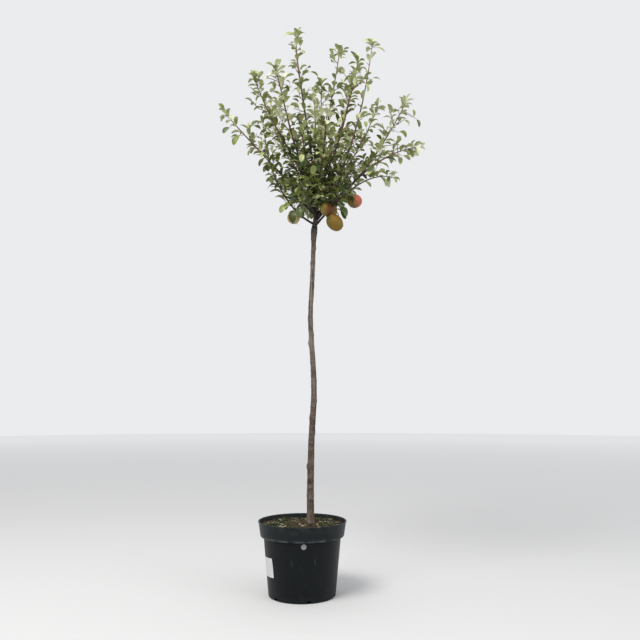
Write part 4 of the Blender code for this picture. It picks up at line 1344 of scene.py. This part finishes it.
HANGING_LEAVES = (
    HangingLeaf("low_left", 0.25, (-0.0330, -0.066, 1.2380), (-0.0350, -0.078, 1.1830), 0),
    HangingLeaf("low_left", 0.32, (-0.0562, -0.060, 1.2590), (-0.0770, -0.070, 1.2250), 3),
    HangingLeaf("low_left", 0.20, (-0.0164, -0.050, 1.2487), (0.0030, -0.060, 1.2050), 0),
    HangingLeaf("low_left", 0.22, (-0.0200, -0.056, 1.2520), (-0.0080, -0.070, 1.2090), 1),
    HangingLeaf("low_left", 0.36, (-0.0480, -0.056, 1.2680), (-0.0620, -0.072, 1.2380), 2),
    HangingLeaf("fruiting", 0.62, (0.1230, -0.066, 1.2480), (0.1480, -0.086, 1.2100), 1),
    HangingLeaf("fruiting", 0.60, (0.1260, -0.060, 1.2440), (0.1410, -0.070, 1.2040), 0),
    HangingLeaf("fruiting", 0.80, (0.1200, -0.074, 1.2860), (0.1500, -0.100, 1.2560), 2),
    HangingLeaf("fruiting", 0.85, (0.1440, -0.078, 1.2960), (0.1640, -0.104, 1.2740), 3),
    HangingLeaf("heart_front", 0.70, (0.0898, -0.080, 1.3060), (0.0990, -0.098, 1.2600), 0),
    HangingLeaf("heart_front", 0.55, (0.0740, -0.070, 1.2940), (0.0640, -0.092, 1.2560), 1),
    HangingLeaf("low_front", 0.35, (0.0290, -0.070, 1.2960), (0.0160, -0.094, 1.2500), 1),
    HangingLeaf("heart_low", 0.50, (0.0120, -0.060, 1.2920), (-0.0040, -0.082, 1.2520), 0),
)
HANGING_FACING = Vector((0.0, -1.0, 0.45))
EDGE_LEAVES = (
    HangingLeaf("far_left", 0.77, (-0.2264, 0.0226, 1.5397), (-0.2511, 0.0126, 1.4977), 2),
    HangingLeaf("far_left", 1.00, (-0.2840, 0.0275, 1.6301), (-0.3005, 0.0175, 1.6586), 2),
    HangingLeaf("far_left", 0.88, (-0.2619, 0.0255, 1.5693), (-0.2850, 0.0155, 1.5414), 1),
    HangingLeaf("far_left", 0.97, (-0.2788, 0.0270, 1.6085), (-0.2946, 0.0170, 1.5870), 1),
    HangingLeaf("far_left", 0.45, (-0.1210, 0.0114, 1.4321), (-0.1382, 0.0014, 1.3959), 1),
    HangingLeaf("left", 0.64, (-0.1477, -0.0523, 1.5561), (-0.1781, -0.0623, 1.5353), 1),
    HangingLeaf("left_leader", 0.97, (-0.0246, -0.0337, 1.8767), (-0.0704, -0.0437, 1.8815), 4),
    HangingLeaf("left_leader", 0.99, (-0.0208, -0.0333, 1.8857), (-0.0345, -0.0433, 1.9055), 4),
    HangingLeaf("left_leader", 1.00, (-0.0148, -0.0331, 1.8865), (0.0083, -0.0431, 1.8841), 4),
    HangingLeaf("left_leader", 0.66, (-0.0152, -0.0325, 1.8150), (0.0095, -0.0425, 1.8129), 3),
    HangingLeaf("right_leader", 1.00, (0.2438, -0.0391, 1.8434), (0.2072, -0.0491, 1.8587), 4),
    HangingLeaf("right_leader", 0.99, (0.2496, -0.0388, 1.8330), (0.2826, -0.0488, 1.8122), 3),
    HangingLeaf("right_leader", 0.85, (0.2357, -0.0347, 1.7169), (0.2660, -0.0447, 1.7134), 2),
    HangingLeaf("mid_back", 0.96, (0.1194, 0.0945, 1.8916), (0.0918, 0.0845, 1.9040), 3),
    HangingLeaf("mid_back", 0.89, (0.1254, 0.0902, 1.8622), (0.1547, 0.0802, 1.8699), 3),
    HangingLeaf("right", 0.95, (0.3922, 0.0368, 1.6135), (0.3873, 0.0268, 1.6380), 3),
    HangingLeaf("right", 0.94, (0.4019, 0.0365, 1.6051), (0.4075, 0.0265, 1.5712), 1),
    HangingLeaf("far_right", 0.52, (0.2238, -0.0642, 1.3920), (0.2241, -0.0742, 1.3397), 1),
    HangingLeaf("far_right", 0.65, (0.2694, -0.0778, 1.4101), (0.3143, -0.0878, 1.3984), 1),
    HangingLeaf("right", 0.83, (0.3333, 0.0330, 1.5537), (0.3669, 0.0230, 1.5284), 2),
    HangingLeaf("low_right", 0.94, (0.2966, 0.0078, 1.3839), (0.2913, -0.0022, 1.3596), 1),
)
EDGE_FACING = Vector((0.10, -0.78, 0.62))


def hang_leaves(growths, forms, tones):
    """Add the large leaves, and their spurs to the limbs' own."""
    leaves = [(leaf, HANGING_FACING) for leaf in HANGING_LEAVES] + [(leaf, EDGE_FACING) for leaf in EDGE_LEAVES]
    for k, (leaf, facing) in enumerate(leaves):
        growth = next(growth for growth in growths if growth.limb.name == leaf.limb)
        base, tip = Vector(leaf.base), Vector(leaf.tip)
        growth.spurs.append((limb_point(growth.limb, leaf.share), base))
        matrix = leaf_matrix(base, (tip - base).normalized(), facing, (tip - base).length)
        points, faces = forms[k % LEAF_FORMS]
        tones[leaf.tone].add(points @ np.array(matrix.to_3x3()).T + np.array(base), faces)


def build_leaves(growths):
    rng = random.Random(SEED)
    forms = [leaf_form(rng) for _ in range(LEAF_FORMS)]
    tones = [Joined() for _ in LEAF_TONES]
    plain = len(LEAF_TONES) - 1
    for growth in growths:
        spray_light = [rng.gauss(SPRAY_LIGHT, SPRAY_UNEVEN) for _ in range(len(growth.twigs) + 1)]
        for matrix, spray in zip(growth.leaves, growth.sprays):
            light = leaf_light(matrix.translation) + spray_light[spray] + rng.gauss(0.0, LEAF_UNEVEN)
            tone = min(max(int(light * plain), 0), plain - 1)
            if rng.random() < BRONZE_SHARE:
                tone = plain
            points, faces = forms[rng.randrange(LEAF_FORMS)]
            matrix = levelled(matrix)
            turn = np.array(matrix.to_3x3()) * (REAL_LEAF if matrix.to_scale().x > LARGE_LEAF else 1.0)
            tones[tone].add(points @ turn.T + np.array(matrix.translation), faces)
    hang_leaves(growths, forms, tones)
    foliage = [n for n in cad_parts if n.startswith("foliage_")]
    for joined, (name, colour) in zip(tones, LEAF_TONES):
        mat = plain_material("leaf_" + name, srgb(*colour), 0.45, 0.28)
        joined.piece("leaves_" + name, mat, "leaves", True, foliage)


class Skin(NamedTuple):
    """Looks of one fruit, in the same order as the fruits."""

    ground: tuple
    blush: tuple
    shade: tuple
    sun: tuple              # where the blush lies: how far to +X and to +Z
    waist: float            # how much narrower it gets towards its top


SKINS = (
    Skin((126, 99, 32), (130, 92, 33), (97, 92, 32), (0.3, -0.2), -0.06),
    Skin((140, 117, 50), (98, 58, 24), (112, 106, 48), (1.7, -0.8), -0.04),
    Skin((128, 102, 54), (170, 92, 72), (86, 80, 40), (1.5, 0.5), 0.06),
    Skin((188, 166, 122), (182, 150, 106), (132, 130, 84), (-0.6, 0.4), 0.04),
    Skin((140, 116, 52), (150, 96, 50), (112, 104, 48), (0.6, 0.2), 0.05),
)


def fruit_material(name, skin):
    """Waxy skin: a ground colour, a flush on the sunny side and fine dots."""
    nodes = Nodes(name, 0.42, 0.22)
    blotch = nodes.noise(38.0, 4.0)
    ground = nodes.mix(nodes.level(blotch, 0.35, 0.7), srgb(*skin.shade), srgb(*skin.ground))
    lean = nodes.sum(nodes.sum(nodes.axis("X"), skin.sun[0] * 18.0, "MULTIPLY"),
                     nodes.sum(nodes.axis("Z"), skin.sun[1] * 18.0, "MULTIPLY"))
    flush = nodes.sum(lean, nodes.sum(nodes.noise(30.0, 5.0, 0.6), 1.1, "MULTIPLY"))
    blushed = nodes.mix(nodes.level(flush, 0.35, 0.85), ground, srgb(*skin.blush))
    dots = nodes.cells(420.0)
    dotted = nodes.mix(0.22, blushed, srgb(176, 150, 92))
    nodes.colour(nodes.mix(nodes.level(dots, 0.10, 0.16), dotted, blushed))
    nodes.roughness(blotch, 0.36, 0.58)
    nodes.bump(nodes.sum(blotch, dots), 0.15, 0.0008)
    return nodes.mat


def fruit_mesh(name, fruit, skin, seed):
    """A ribbed, lumpy fruit with a dimple at both ends."""
    shape = bmesh.new()
    bmesh.ops.create_uvsphere(shape, u_segments=56, v_segments=40, radius=1.0)
    for vert in shape.verts:
        place = vert.co.copy()
        turn = math.atan2(place.y, place.x)
        girth = math.hypot(place.x, place.y)
        ribs = 0.020 * math.cos(5.0 * turn + seed) * girth
        lump = 0.05 * noise.noise(place * 1.6 + Vector((3.7 * seed, 0.0, 0.0)))
        dimple = 0.12 * math.exp(-(girth / 0.22) ** 2)
        place *= 1.0 + ribs + lump
        place.x *= 1.0 - skin.waist * place.z
        place.y *= 1.0 - skin.waist * place.z
        place.z -= math.copysign(dimple, place.z)
        vert.co = place
    bmesh.ops.scale(shape, vec=(fruit.radius, fruit.radius, fruit.half), verts=shape.verts)
    mesh = bpy.data.meshes.new(name)
    shape.to_mesh(mesh)
    shape.free()
    return mesh


def build_fruits():
    for k, (fruit, skin) in enumerate(zip(FRUITS, SKINS)):
        name = "fruit_%d" % k
        piece = add_piece(name, fruit_mesh(name, fruit, skin, k), fruit_material("fruit_skin_%d" % k, skin))
        piece.matrix_world = fruit_frame(fruit)
        build_stalk(k, fruit)


def build_stalk(k, fruit):
    """The stalk, and the withered calyx at the fruit's other end."""
    limb = next(limb for limb in LIMBS if limb.name == fruit.limb)
    root = limb_point(limb, fruit.share)
    at = fruit_frame(fruit)
    top = at @ (UP * fruit.half * 0.84)
    stalk = Joined()
    stalk.add(*tube([root, root.lerp(top, 0.5) + UP * 0.002, top], [0.0019, 0.0014, 0.0018], 8))
    calyx = -UP * fruit.half * 0.87
    for turn in range(5):
        away = Vector((math.cos(turn * 1.257), math.sin(turn * 1.257), 0.0))
        sepal = [calyx + UP * 0.001, calyx + away * 0.0022 - UP * 0.0015, calyx + away * 0.0032 - UP * 0.0036]
        stalk.add(*tube([at @ point for point in sepal], [0.0011, 0.0009, 0.0003], 4))
    stalk.piece("fruit_stalk_%d" % k, plain_material("fruit_stalk_%d" % k, srgb(58, 46, 32), 0.7, 0.3), "branch")


def pot_material():
    """Black plastic: paler on the band as painted sheen, and dusty there; worn on its edges, with a painted
    highlight along the band's lower edge and painted shade under the band.
    """
    nodes = Nodes("pot_plastic", 0.4, 0.18)
    cloud = nodes.noise(9.0, 4.0, 0.6)
    body = nodes.ramp(cloud, ((0.3, srgb(5, 10, 12)), (0.7, srgb(9, 15, 18))))
    height = nodes.axis("Z")
    edge = POT_HEIGHT - POT_BAND_HEIGHT
    # painted sheen: the band is painted paler, as light on its upward face
    band = nodes.mix(nodes.level(height, edge, edge + POT_BAND_STEP), body, srgb(18, 24, 27))
    speckle = nodes.level(nodes.noise(60.0, 6.0, 0.7), 0.45, 0.75)
    dust = nodes.sum(nodes.level(height, 0.200, 0.232), speckle, "MULTIPLY")
    dusty = nodes.mix(nodes.sum(dust, 0.45, "MULTIPLY"), band, srgb(78, 76, 68))
    foot = nodes.sum(nodes.level(height, 0.040, 0.0), speckle, "MULTIPLY")
    worn = nodes.mix(nodes.sum(foot, 0.40, "MULTIPLY"), dusty, srgb(50, 55, 56))
    # a pale line along the band's lower edge: partly rubbed wear, partly painted highlight
    near_edge = nodes.sum(nodes.level(height, edge - 0.001, edge + 0.001),
                          nodes.level(height, edge + 0.006, edge + 0.001), "MULTIPLY")
    rubbed_and_highlight = nodes.sum(near_edge, nodes.level(nodes.noise(40.0, 5.0, 0.7), 0.40, 0.62), "MULTIPLY")
    highlight_lined = nodes.mix(nodes.sum(rubbed_and_highlight, 0.55, "MULTIPLY"), worn, srgb(104, 110, 112))
    # painted shade: a near-black strip just under the band's overhang
    under_band_shade = nodes.sum(nodes.level(height, edge - 0.010, edge - 0.004),
                      nodes.level(height, edge, edge - 0.001), "MULTIPLY")
    shaded = nodes.mix(nodes.sum(under_band_shade, 0.85, "MULTIPLY"), highlight_lined, srgb(1, 2, 3))
    scuff = nodes.noise(90.0, 3.0, 0.6, (1.0, 1.0, 0.12))
    scuffed = nodes.mix(nodes.sum(nodes.level(scuff, 0.64, 0.74), 0.30, "MULTIPLY"), shaded, srgb(84, 90, 92))
    nodes.colour(scuffed)
    nodes.roughness(cloud, 0.34, 0.54)
    nodes.bump(nodes.noise(900.0, 2.0), 0.12, 0.0004)
    return nodes.mat


def fine_profile(profile):
    """A profile with its corners rounded by three points each."""
    rounded = [profile[0]]
    for before, corner, after in zip(profile, profile[1:], profile[2:]):
        for share in (-1, 0, 1):
            other = before if share < 0 else after
            reach = math.dist(corner, other)
            pull = min(0.0006, 0.4 * reach) / reach if share else 0.0
            if share:
                rounded.append(tuple(c + (o - c) * pull for c, o in zip(corner, other)))
            else:
                rounded.append(tuple(c + 0.12 * (0.5 * (b + a) - c) * min(0.0006 / math.dist(corner, before), 1.0)
                                     for c, b, a in zip(corner, before, after)))
    rounded.append(profile[-1])
    return rounded


POT_STEPS = 144


def build_pot():
    profile = pot_outside() + pot_inside() + pot_outside()[:1]
    profile = [(max(radius, 0.0), height) for radius, height in fine_profile(profile)]
    mesh = bpy.data.meshes.new("pot_shell")
    mesh.from_pydata([(r, 0.0, z) for r, z in profile], [(i, i + 1) for i in range(len(profile) - 1)], [])
    guide = bpy.data.objects.new("pot_shell", mesh)
    bpy.context.scene.collection.objects.link(guide)
    screw = guide.modifiers.new("turn", "SCREW")
    screw.axis = "Z"
    screw.steps = POT_STEPS
    screw.render_steps = POT_STEPS
    screw.use_merge_vertices = True
    screw.merge_threshold = 0.00002
    blocks = []
    notch_shades = Joined()
    for i in range(NOTCH_COUNT):
        turn = NOTCH_TURN + i * 2.0 * math.pi / NOTCH_COUNT
        away = Vector((math.cos(turn), math.sin(turn), 0.0))
        place = away * (POT_BASE_RADIUS - NOTCH_DEPTH + 0.5 * NOTCH_CUTTER)
        place += UP * (NOTCH_TALL - 0.5 * NOTCH_CUTTER)
        shape = bmesh.new()
        bmesh.ops.create_cube(shape, size=1.0)
        bmesh.ops.scale(shape, vec=(NOTCH_CUTTER, NOTCH_WIDTH, NOTCH_CUTTER), verts=shape.verts)
        bmesh.ops.bevel(shape, geom=shape.edges[:], offset=0.0012, segments=2, affect="EDGES")
        block_mesh = bpy.data.meshes.new("notch_%d" % i)
        shape.to_mesh(block_mesh)
        shape.free()
        block = bpy.data.objects.new("notch_%d" % i, block_mesh)
        bpy.context.scene.collection.objects.link(block)
        block.matrix_world = facing_matrix(place, away)
        cut = guide.modifiers.new("notch", "BOOLEAN")
        cut.operation = "DIFFERENCE"
        cut.object = block
        blocks.append(block)
        # a black sheet at the back of each blind notch: painted shade in the notch
        back = away * (POT_BASE_RADIUS - NOTCH_DEPTH + 0.0001)
        side = UP.cross(away) * 0.48 * NOTCH_WIDTH
        low, high = UP * POT_CHAMFER, UP * (NOTCH_TALL - 0.0003)
        notch_shades.add([back - side + low, back + side + low, back + side + high, back - side + high], [(0, 1, 2, 3)])
    pot = evaluated_copy(guide)
    for obj in [guide] + blocks:
        bpy.data.objects.remove(obj, do_unlink=True)
    add_piece("pot_body", pot, pot_material(), True, ["pot"])
    pot.set_sharp_from_angle(angle=math.radians(40.0))
    notch_shades.piece("pot_notch_shade", plain_material("notch_shade_black", srgb(1, 1, 1), 1.0, 0.0), "pot", False)
    build_disc()


def wall_radius(height):
    """Outer radius of the pot's body at a height under the band."""
    top = POT_HEIGHT - POT_BAND_HEIGHT - 1.5 * POT_BAND_STEP
    share = (height - POT_CHAMFER) / (top - POT_CHAMFER)
    return POT_BASE_RADIUS + (POT_BODY_TOP_RADIUS - POT_BASE_RADIUS) * share


def build_disc():
    """The plain raised disc on the front, dished and rounded at its edge."""
    slope = (POT_BODY_TOP_RADIUS - POT_BASE_RADIUS) / (POT_HEIGHT - POT_BAND_HEIGHT)
    away = Vector((math.cos(DISC_TURN), math.sin(DISC_TURN), 0.0))
    outward = (away - UP * slope).normalized()
    frame_at = facing_matrix(away * wall_radius(DISC_HEIGHT) + UP * DISC_HEIGHT, outward)
    rings = ((0.0, 0.30), (0.45, 0.30), (0.60, 0.55), (0.86, 1.0), (0.97, 0.8), (1.0, -1.5))
    disc = Joined()
    points = []
    for reach, rise in rings:
        for k in range(48):
            turn = 2.0 * math.pi * k / 48
            flat = Vector((rise * DISC_DEPTH, reach * DISC_RADIUS * math.cos(turn),
                           reach * DISC_RADIUS * math.sin(turn)))
            points.append(frame_at @ flat)
    faces = [(i * 48 + k, i * 48 + (k + 1) % 48, (i + 1) * 48 + (k + 1) % 48, (i + 1) * 48 + k)
             for i in range(len(rings) - 1) for k in range(48)]
    disc.add(points, faces)
    nodes = Nodes("disc_plastic", 0.45)
    cloud = nodes.noise(500.0, 3.0)
    nodes.colour(nodes.ramp(cloud, ((0.35, srgb(104, 110, 116)), (0.65, srgb(150, 156, 160)))))
    nodes.roughness(cloud, 0.4, 0.6)
    disc.piece("pot_disc", nodes.mat, "pot")


def build_label():
    """Blank paper label that follows the pot's side."""
    across, tall = 36, 12
    points = []
    for layer in (0.0, LABEL_THICKNESS):
        for i in range(tall + 1):
            for k in range(across + 1):
                share = k / across
                turn = LABEL_TURNS[0] + (LABEL_TURNS[1] - LABEL_TURNS[0]) * share
                height = LABEL_LOW + LABEL_HEIGHT * i / tall
                height += LABEL_TILT * (share - 0.5) * (LABEL_TURNS[1] - LABEL_TURNS[0]) * POT_BASE_RADIUS
                lift = 0.00015 + layer
                curl = 0.0022 * max((share - 0.86) / 0.14, 0.0) ** 2 * max((i / tall - 0.5) / 0.5, 0.0)
                radius = wall_radius(height) + lift + curl
                points.append((radius * math.cos(turn), radius * math.sin(turn), height))
    row = across + 1
    layer = row * (tall + 1)
    faces = []
    for i in range(tall):
        for k in range(across):
            a = i * row + k
            faces.append((a + 1, a, a + row, a + row + 1))
            faces.append((layer + a, layer + a + 1, layer + a + row + 1, layer + a + row))
    rim = [k for k in range(row)] + [i * row + across for i in range(1, tall + 1)]
    rim += [tall * row + k for k in range(across - 1, -1, -1)] + [i * row for i in range(tall - 1, 0, -1)]
    for a, b in zip(rim, rim[1:] + rim[:1]):
        faces.append((a, b, layer + b, layer + a))
    label = Joined()
    label.add(points, faces)
    nodes = Nodes("label_paper", 0.55)
    soft = nodes.noise(25.0, 4.0, 0.5)
    nodes.colour(nodes.ramp(soft, ((0.3, srgb(190, 190, 189)), (0.7, srgb(204, 204, 203)))))
    nodes.roughness(soft, 0.45, 0.65)
    nodes.bump(soft, 0.05, 0.0005)
    label.piece("pot_label", nodes.mat, "label", False)


def soil_surface(x, y):
    """Fine height of the soil: the solid's lumps with crumbs on them."""
    crumbs = noise.noise(Vector((x * 160.0, y * 160.0, 0.0))) * 0.0016
    crumbs += noise.noise(Vector((x * 420.0, y * 420.0, 4.0))) * 0.0010
    return soil_height(x, y) + crumbs


def soil_edge():
    low, high = pot_inside(inset=1.5 * GAP)[-2:]
    return low[0] + (high[0] - low[0]) * 0.55


def build_soil():
    """Crumbly compost with wood chips and moss."""
    rings, sides = 70, 200
    reach = soil_edge() - 0.0004
    points = [(0.0, 0.0, soil_surface(0.0, 0.0))]
    for i in range(1, rings + 1):
        radius = reach * i / rings
        for k in range(sides):
            turn = 2.0 * math.pi * k / sides
            x, y = radius * math.cos(turn), radius * math.sin(turn)
            points.append((x, y, soil_surface(x, y)))
    for k in range(sides):
        turn = 2.0 * math.pi * k / sides
        points.append((reach * 0.985 * math.cos(turn), reach * 0.985 * math.sin(turn), SOIL_LEVEL - 0.022))
    faces = [(0, 1 + k, 1 + (k + 1) % sides) for k in range(sides)]
    for i in range(rings):
        low = 1 + i * sides
        faces += [(low + k, low + sides + k, low + sides + (k + 1) % sides, low + (k + 1) % sides)
                  for k in range(sides)]
    last = 1 + rings * sides
    faces.append(tuple(last + k for k in reversed(range(sides))))
    ground = Joined()
    ground.add(points, faces)
    nodes = Nodes("compost", 0.95, 0.15)
    grain = nodes.noise(240.0, 6.0, 0.7)
    base = nodes.ramp(grain, ((0.35, srgb(28, 24, 18)), (0.52, srgb(56, 47, 34)), (0.70, srgb(94, 82, 62))))
    moist = nodes.noise(18.0, 3.0)
    nodes.colour(nodes.mix(nodes.sum(nodes.level(moist, 0.4, 0.65), 0.5, "MULTIPLY"), base, srgb(46, 41, 28)))
    nodes.roughness(grain, 0.8, 1.0)
    nodes.bump(grain, 0.9, 0.0012)
    ground.piece("compost", nodes.mat, "soil", True, ["soil"])
    build_chips(reach)
    build_moss(reach)


def build_chips(reach):
    """Flat splinters of bark and wood lying on the compost."""
    rng = random.Random(SEED + 1)
    tones = (("dark", (44, 36, 27)), ("brown", (98, 80, 56)), ("pale", (168, 154, 132)))
    heaps = [Joined() for _ in tones]
    foot = trunk_point(TRUNK_FOOT)
    for _ in range(CHIP_COUNT):
        radius = reach * 0.97 * math.sqrt(rng.random())
        turn = rng.uniform(0.0, 2.0 * math.pi)
        x, y = radius * math.cos(turn), radius * math.sin(turn)
        if math.hypot(x - foot.x, y - foot.y) < 0.020:
            continue
        length, width, thick = rng.uniform(0.004, 0.017), rng.uniform(0.0015, 0.005), rng.uniform(0.0006, 0.0018)
        if radius + length * 0.5 > reach:
            continue
        shape = bmesh.new()
        bmesh.ops.create_cube(shape, size=1.0)
        bmesh.ops.subdivide_edges(shape, edges=shape.edges[:], cuts=1, use_grid_fill=True)
        for vert in shape.verts:
            vert.co.y *= 1.0 - 0.7 * abs(vert.co.x) * rng.random()
            vert.co += Vector([rng.uniform(-0.10, 0.10) for _ in range(3)])
            vert.co.z += 0.5 * vert.co.x ** 2
        bmesh.ops.scale(shape, vec=(length, width, thick), verts=shape.verts)
        lie = Matrix.Translation((x, y, soil_surface(x, y) + thick * 0.3)) @ \
            Matrix.Rotation(rng.uniform(0.0, math.pi), 4, "Z") @ Matrix.Rotation(rng.gauss(0.0, 0.16), 4, "Y") @ \
            Matrix.Rotation(rng.gauss(0.0, 0.2), 4, "X")
        shape.verts.index_update()
        heap = heaps[rng.choices((0, 1, 2), (5, 4, 3))[0]]
        heap.add([lie @ vert.co for vert in shape.verts], [tuple(v.index for v in f.verts) for f in shape.faces])
        shape.free()
    for heap, (name, colour) in zip(heaps, tones):
        heap.piece("chips_" + name, plain_material("chip_" + name, srgb(*colour), 0.85, 0.2), "soil", False)


def build_moss(reach):
    """Cushions of moss made of tiny upright tufts."""
    rng = random.Random(SEED + 2)
    tones = (("dark", (30, 44, 20)), ("grey", (128, 138, 104)))
    cushions = [Joined() for _ in tones]
    for _ in range(MOSS_TUFTS):
        x0, y0, size = rng.choice(MOSS_PATCHES)
        x, y = x0 + rng.gauss(0.0, 0.45 * size), y0 + rng.gauss(0.0, 0.45 * size)
        if math.hypot(x, y) > reach - 0.003:
            continue
        root = Vector((x, y, soil_surface(x, y) - 0.0005))
        tall = rng.uniform(0.0018, 0.0046)
        points, faces = [], []
        for k in range(6):
            turn = k * 1.047 + rng.uniform(-0.3, 0.3)
            away = Vector((math.cos(turn), math.sin(turn), 0.0))
            side = Vector((-away.y, away.x, 0.0)) * 0.0005
            lean = rng.uniform(0.3, 0.9)
            tip = root + UP * tall + away * tall * lean
            points += [root - side, root + side, tip]
            faces.append((3 * k, 3 * k + 1, 3 * k + 2))
        cushions[rng.choices((0, 1), (3, 1))[0]].add(points, faces)
    for cushion, (name, colour) in zip(cushions, tones):
        cushion.piece("moss_" + name, plain_material("moss_" + name, srgb(*colour), 0.9, 0.2), "soil", False)


def area_light(name, place, target, size, power, colour):
    data = bpy.data.lights.new(name, "AREA")
    data.shape = "DISK"
    data.size = size
    data.energy = power
    data.color = colour
    light = bpy.data.objects.new(name, data)
    light.location = place
    light.rotation_euler = (Vector(target) - Vector(place)).to_track_quat("-Z", "Y").to_euler()
    bpy.context.scene.collection.objects.link(light)


FLOOR_TONES = (         # distance from under the key light, grey
    (0.5, 199),
    (2.5, 202),
    (5.5, 218),
    (12.0, 244),
)


def floor_material():
    """Pale matt floor that gets paler where the key light fades out."""
    nodes = Nodes("studio_floor", 0.8, 0.0)
    away = nodes.sum(nodes.reach(FLOOR_CENTRE), 1.0 / FLOOR_RADIUS, "MULTIPLY")
    nodes.colour(nodes.ramp(away, [(reach / FLOOR_RADIUS, srgb(grey, grey, grey)) for reach, grey in FLOOR_TONES]))
    return nodes.mat


def build_studio():
    shape = bmesh.new()
    bmesh.ops.create_circle(shape, cap_ends=True, segments=96, radius=FLOOR_RADIUS)
    mesh = bpy.data.meshes.new("studio_floor")
    shape.to_mesh(mesh)
    shape.free()
    floor = bpy.data.objects.new("studio_floor", mesh)
    floor.location.z = FLOOR_LEVEL
    bpy.context.scene.collection.objects.link(floor)
    mesh.materials.append(floor_material())
    world = bpy.data.worlds.new("studio")
    world.use_nodes = True
    sky = world.node_tree.nodes["Background"]
    sky.inputs["Color"].default_value = srgb(240, 241, 243)
    sky.inputs["Strength"].default_value = 0.95
    bpy.context.scene.world = world
    area_light("key", (-1.3, -1.8, 3.4), (0.0, 0.0, 1.2), 1.8, 120.0, (1.0, 0.98, 0.95))
    area_light("fill", (2.6, -1.8, 1.6), (0.0, 0.0, 1.0), 2.2, 22.0, (0.95, 0.97, 1.0))
    bpy.context.scene.view_settings.view_transform = "Standard"


def build_camera():
    data = bpy.data.cameras.new("photo_view")
    data.sensor_width = CAMERA_SENSOR
    data.lens = CAMERA_LENS
    camera = bpy.data.objects.new("photo_view", data)
    camera.location = CAMERA_PLACE
    camera.rotation_euler = (CAMERA_PITCH, 0.0, 0.0)
    bpy.context.scene.collection.objects.link(camera)
    bpy.context.scene.camera = camera


def grow_limbs():
    room = Surroundings()
    open_room = OpenRoom(room)
    template = leaf_template()
    growths = []
    for index in range(len(LIMBS)):
        growth = FineGrowth(index, room, open_room, template)
        growth.run()
        growths.append(growth)
    bpy.data.meshes.remove(template)
    return growths


def main():
    build_camera()
    build_studio()
    growths = grow_limbs()
    build_pot()
    build_label()
    build_soil()
    build_trunk()
    build_leaves(growths)
    build_wood(growths)
    build_fruits()
    print("leaves in all:", sum(len(growth.leaves) for growth in growths))


main()
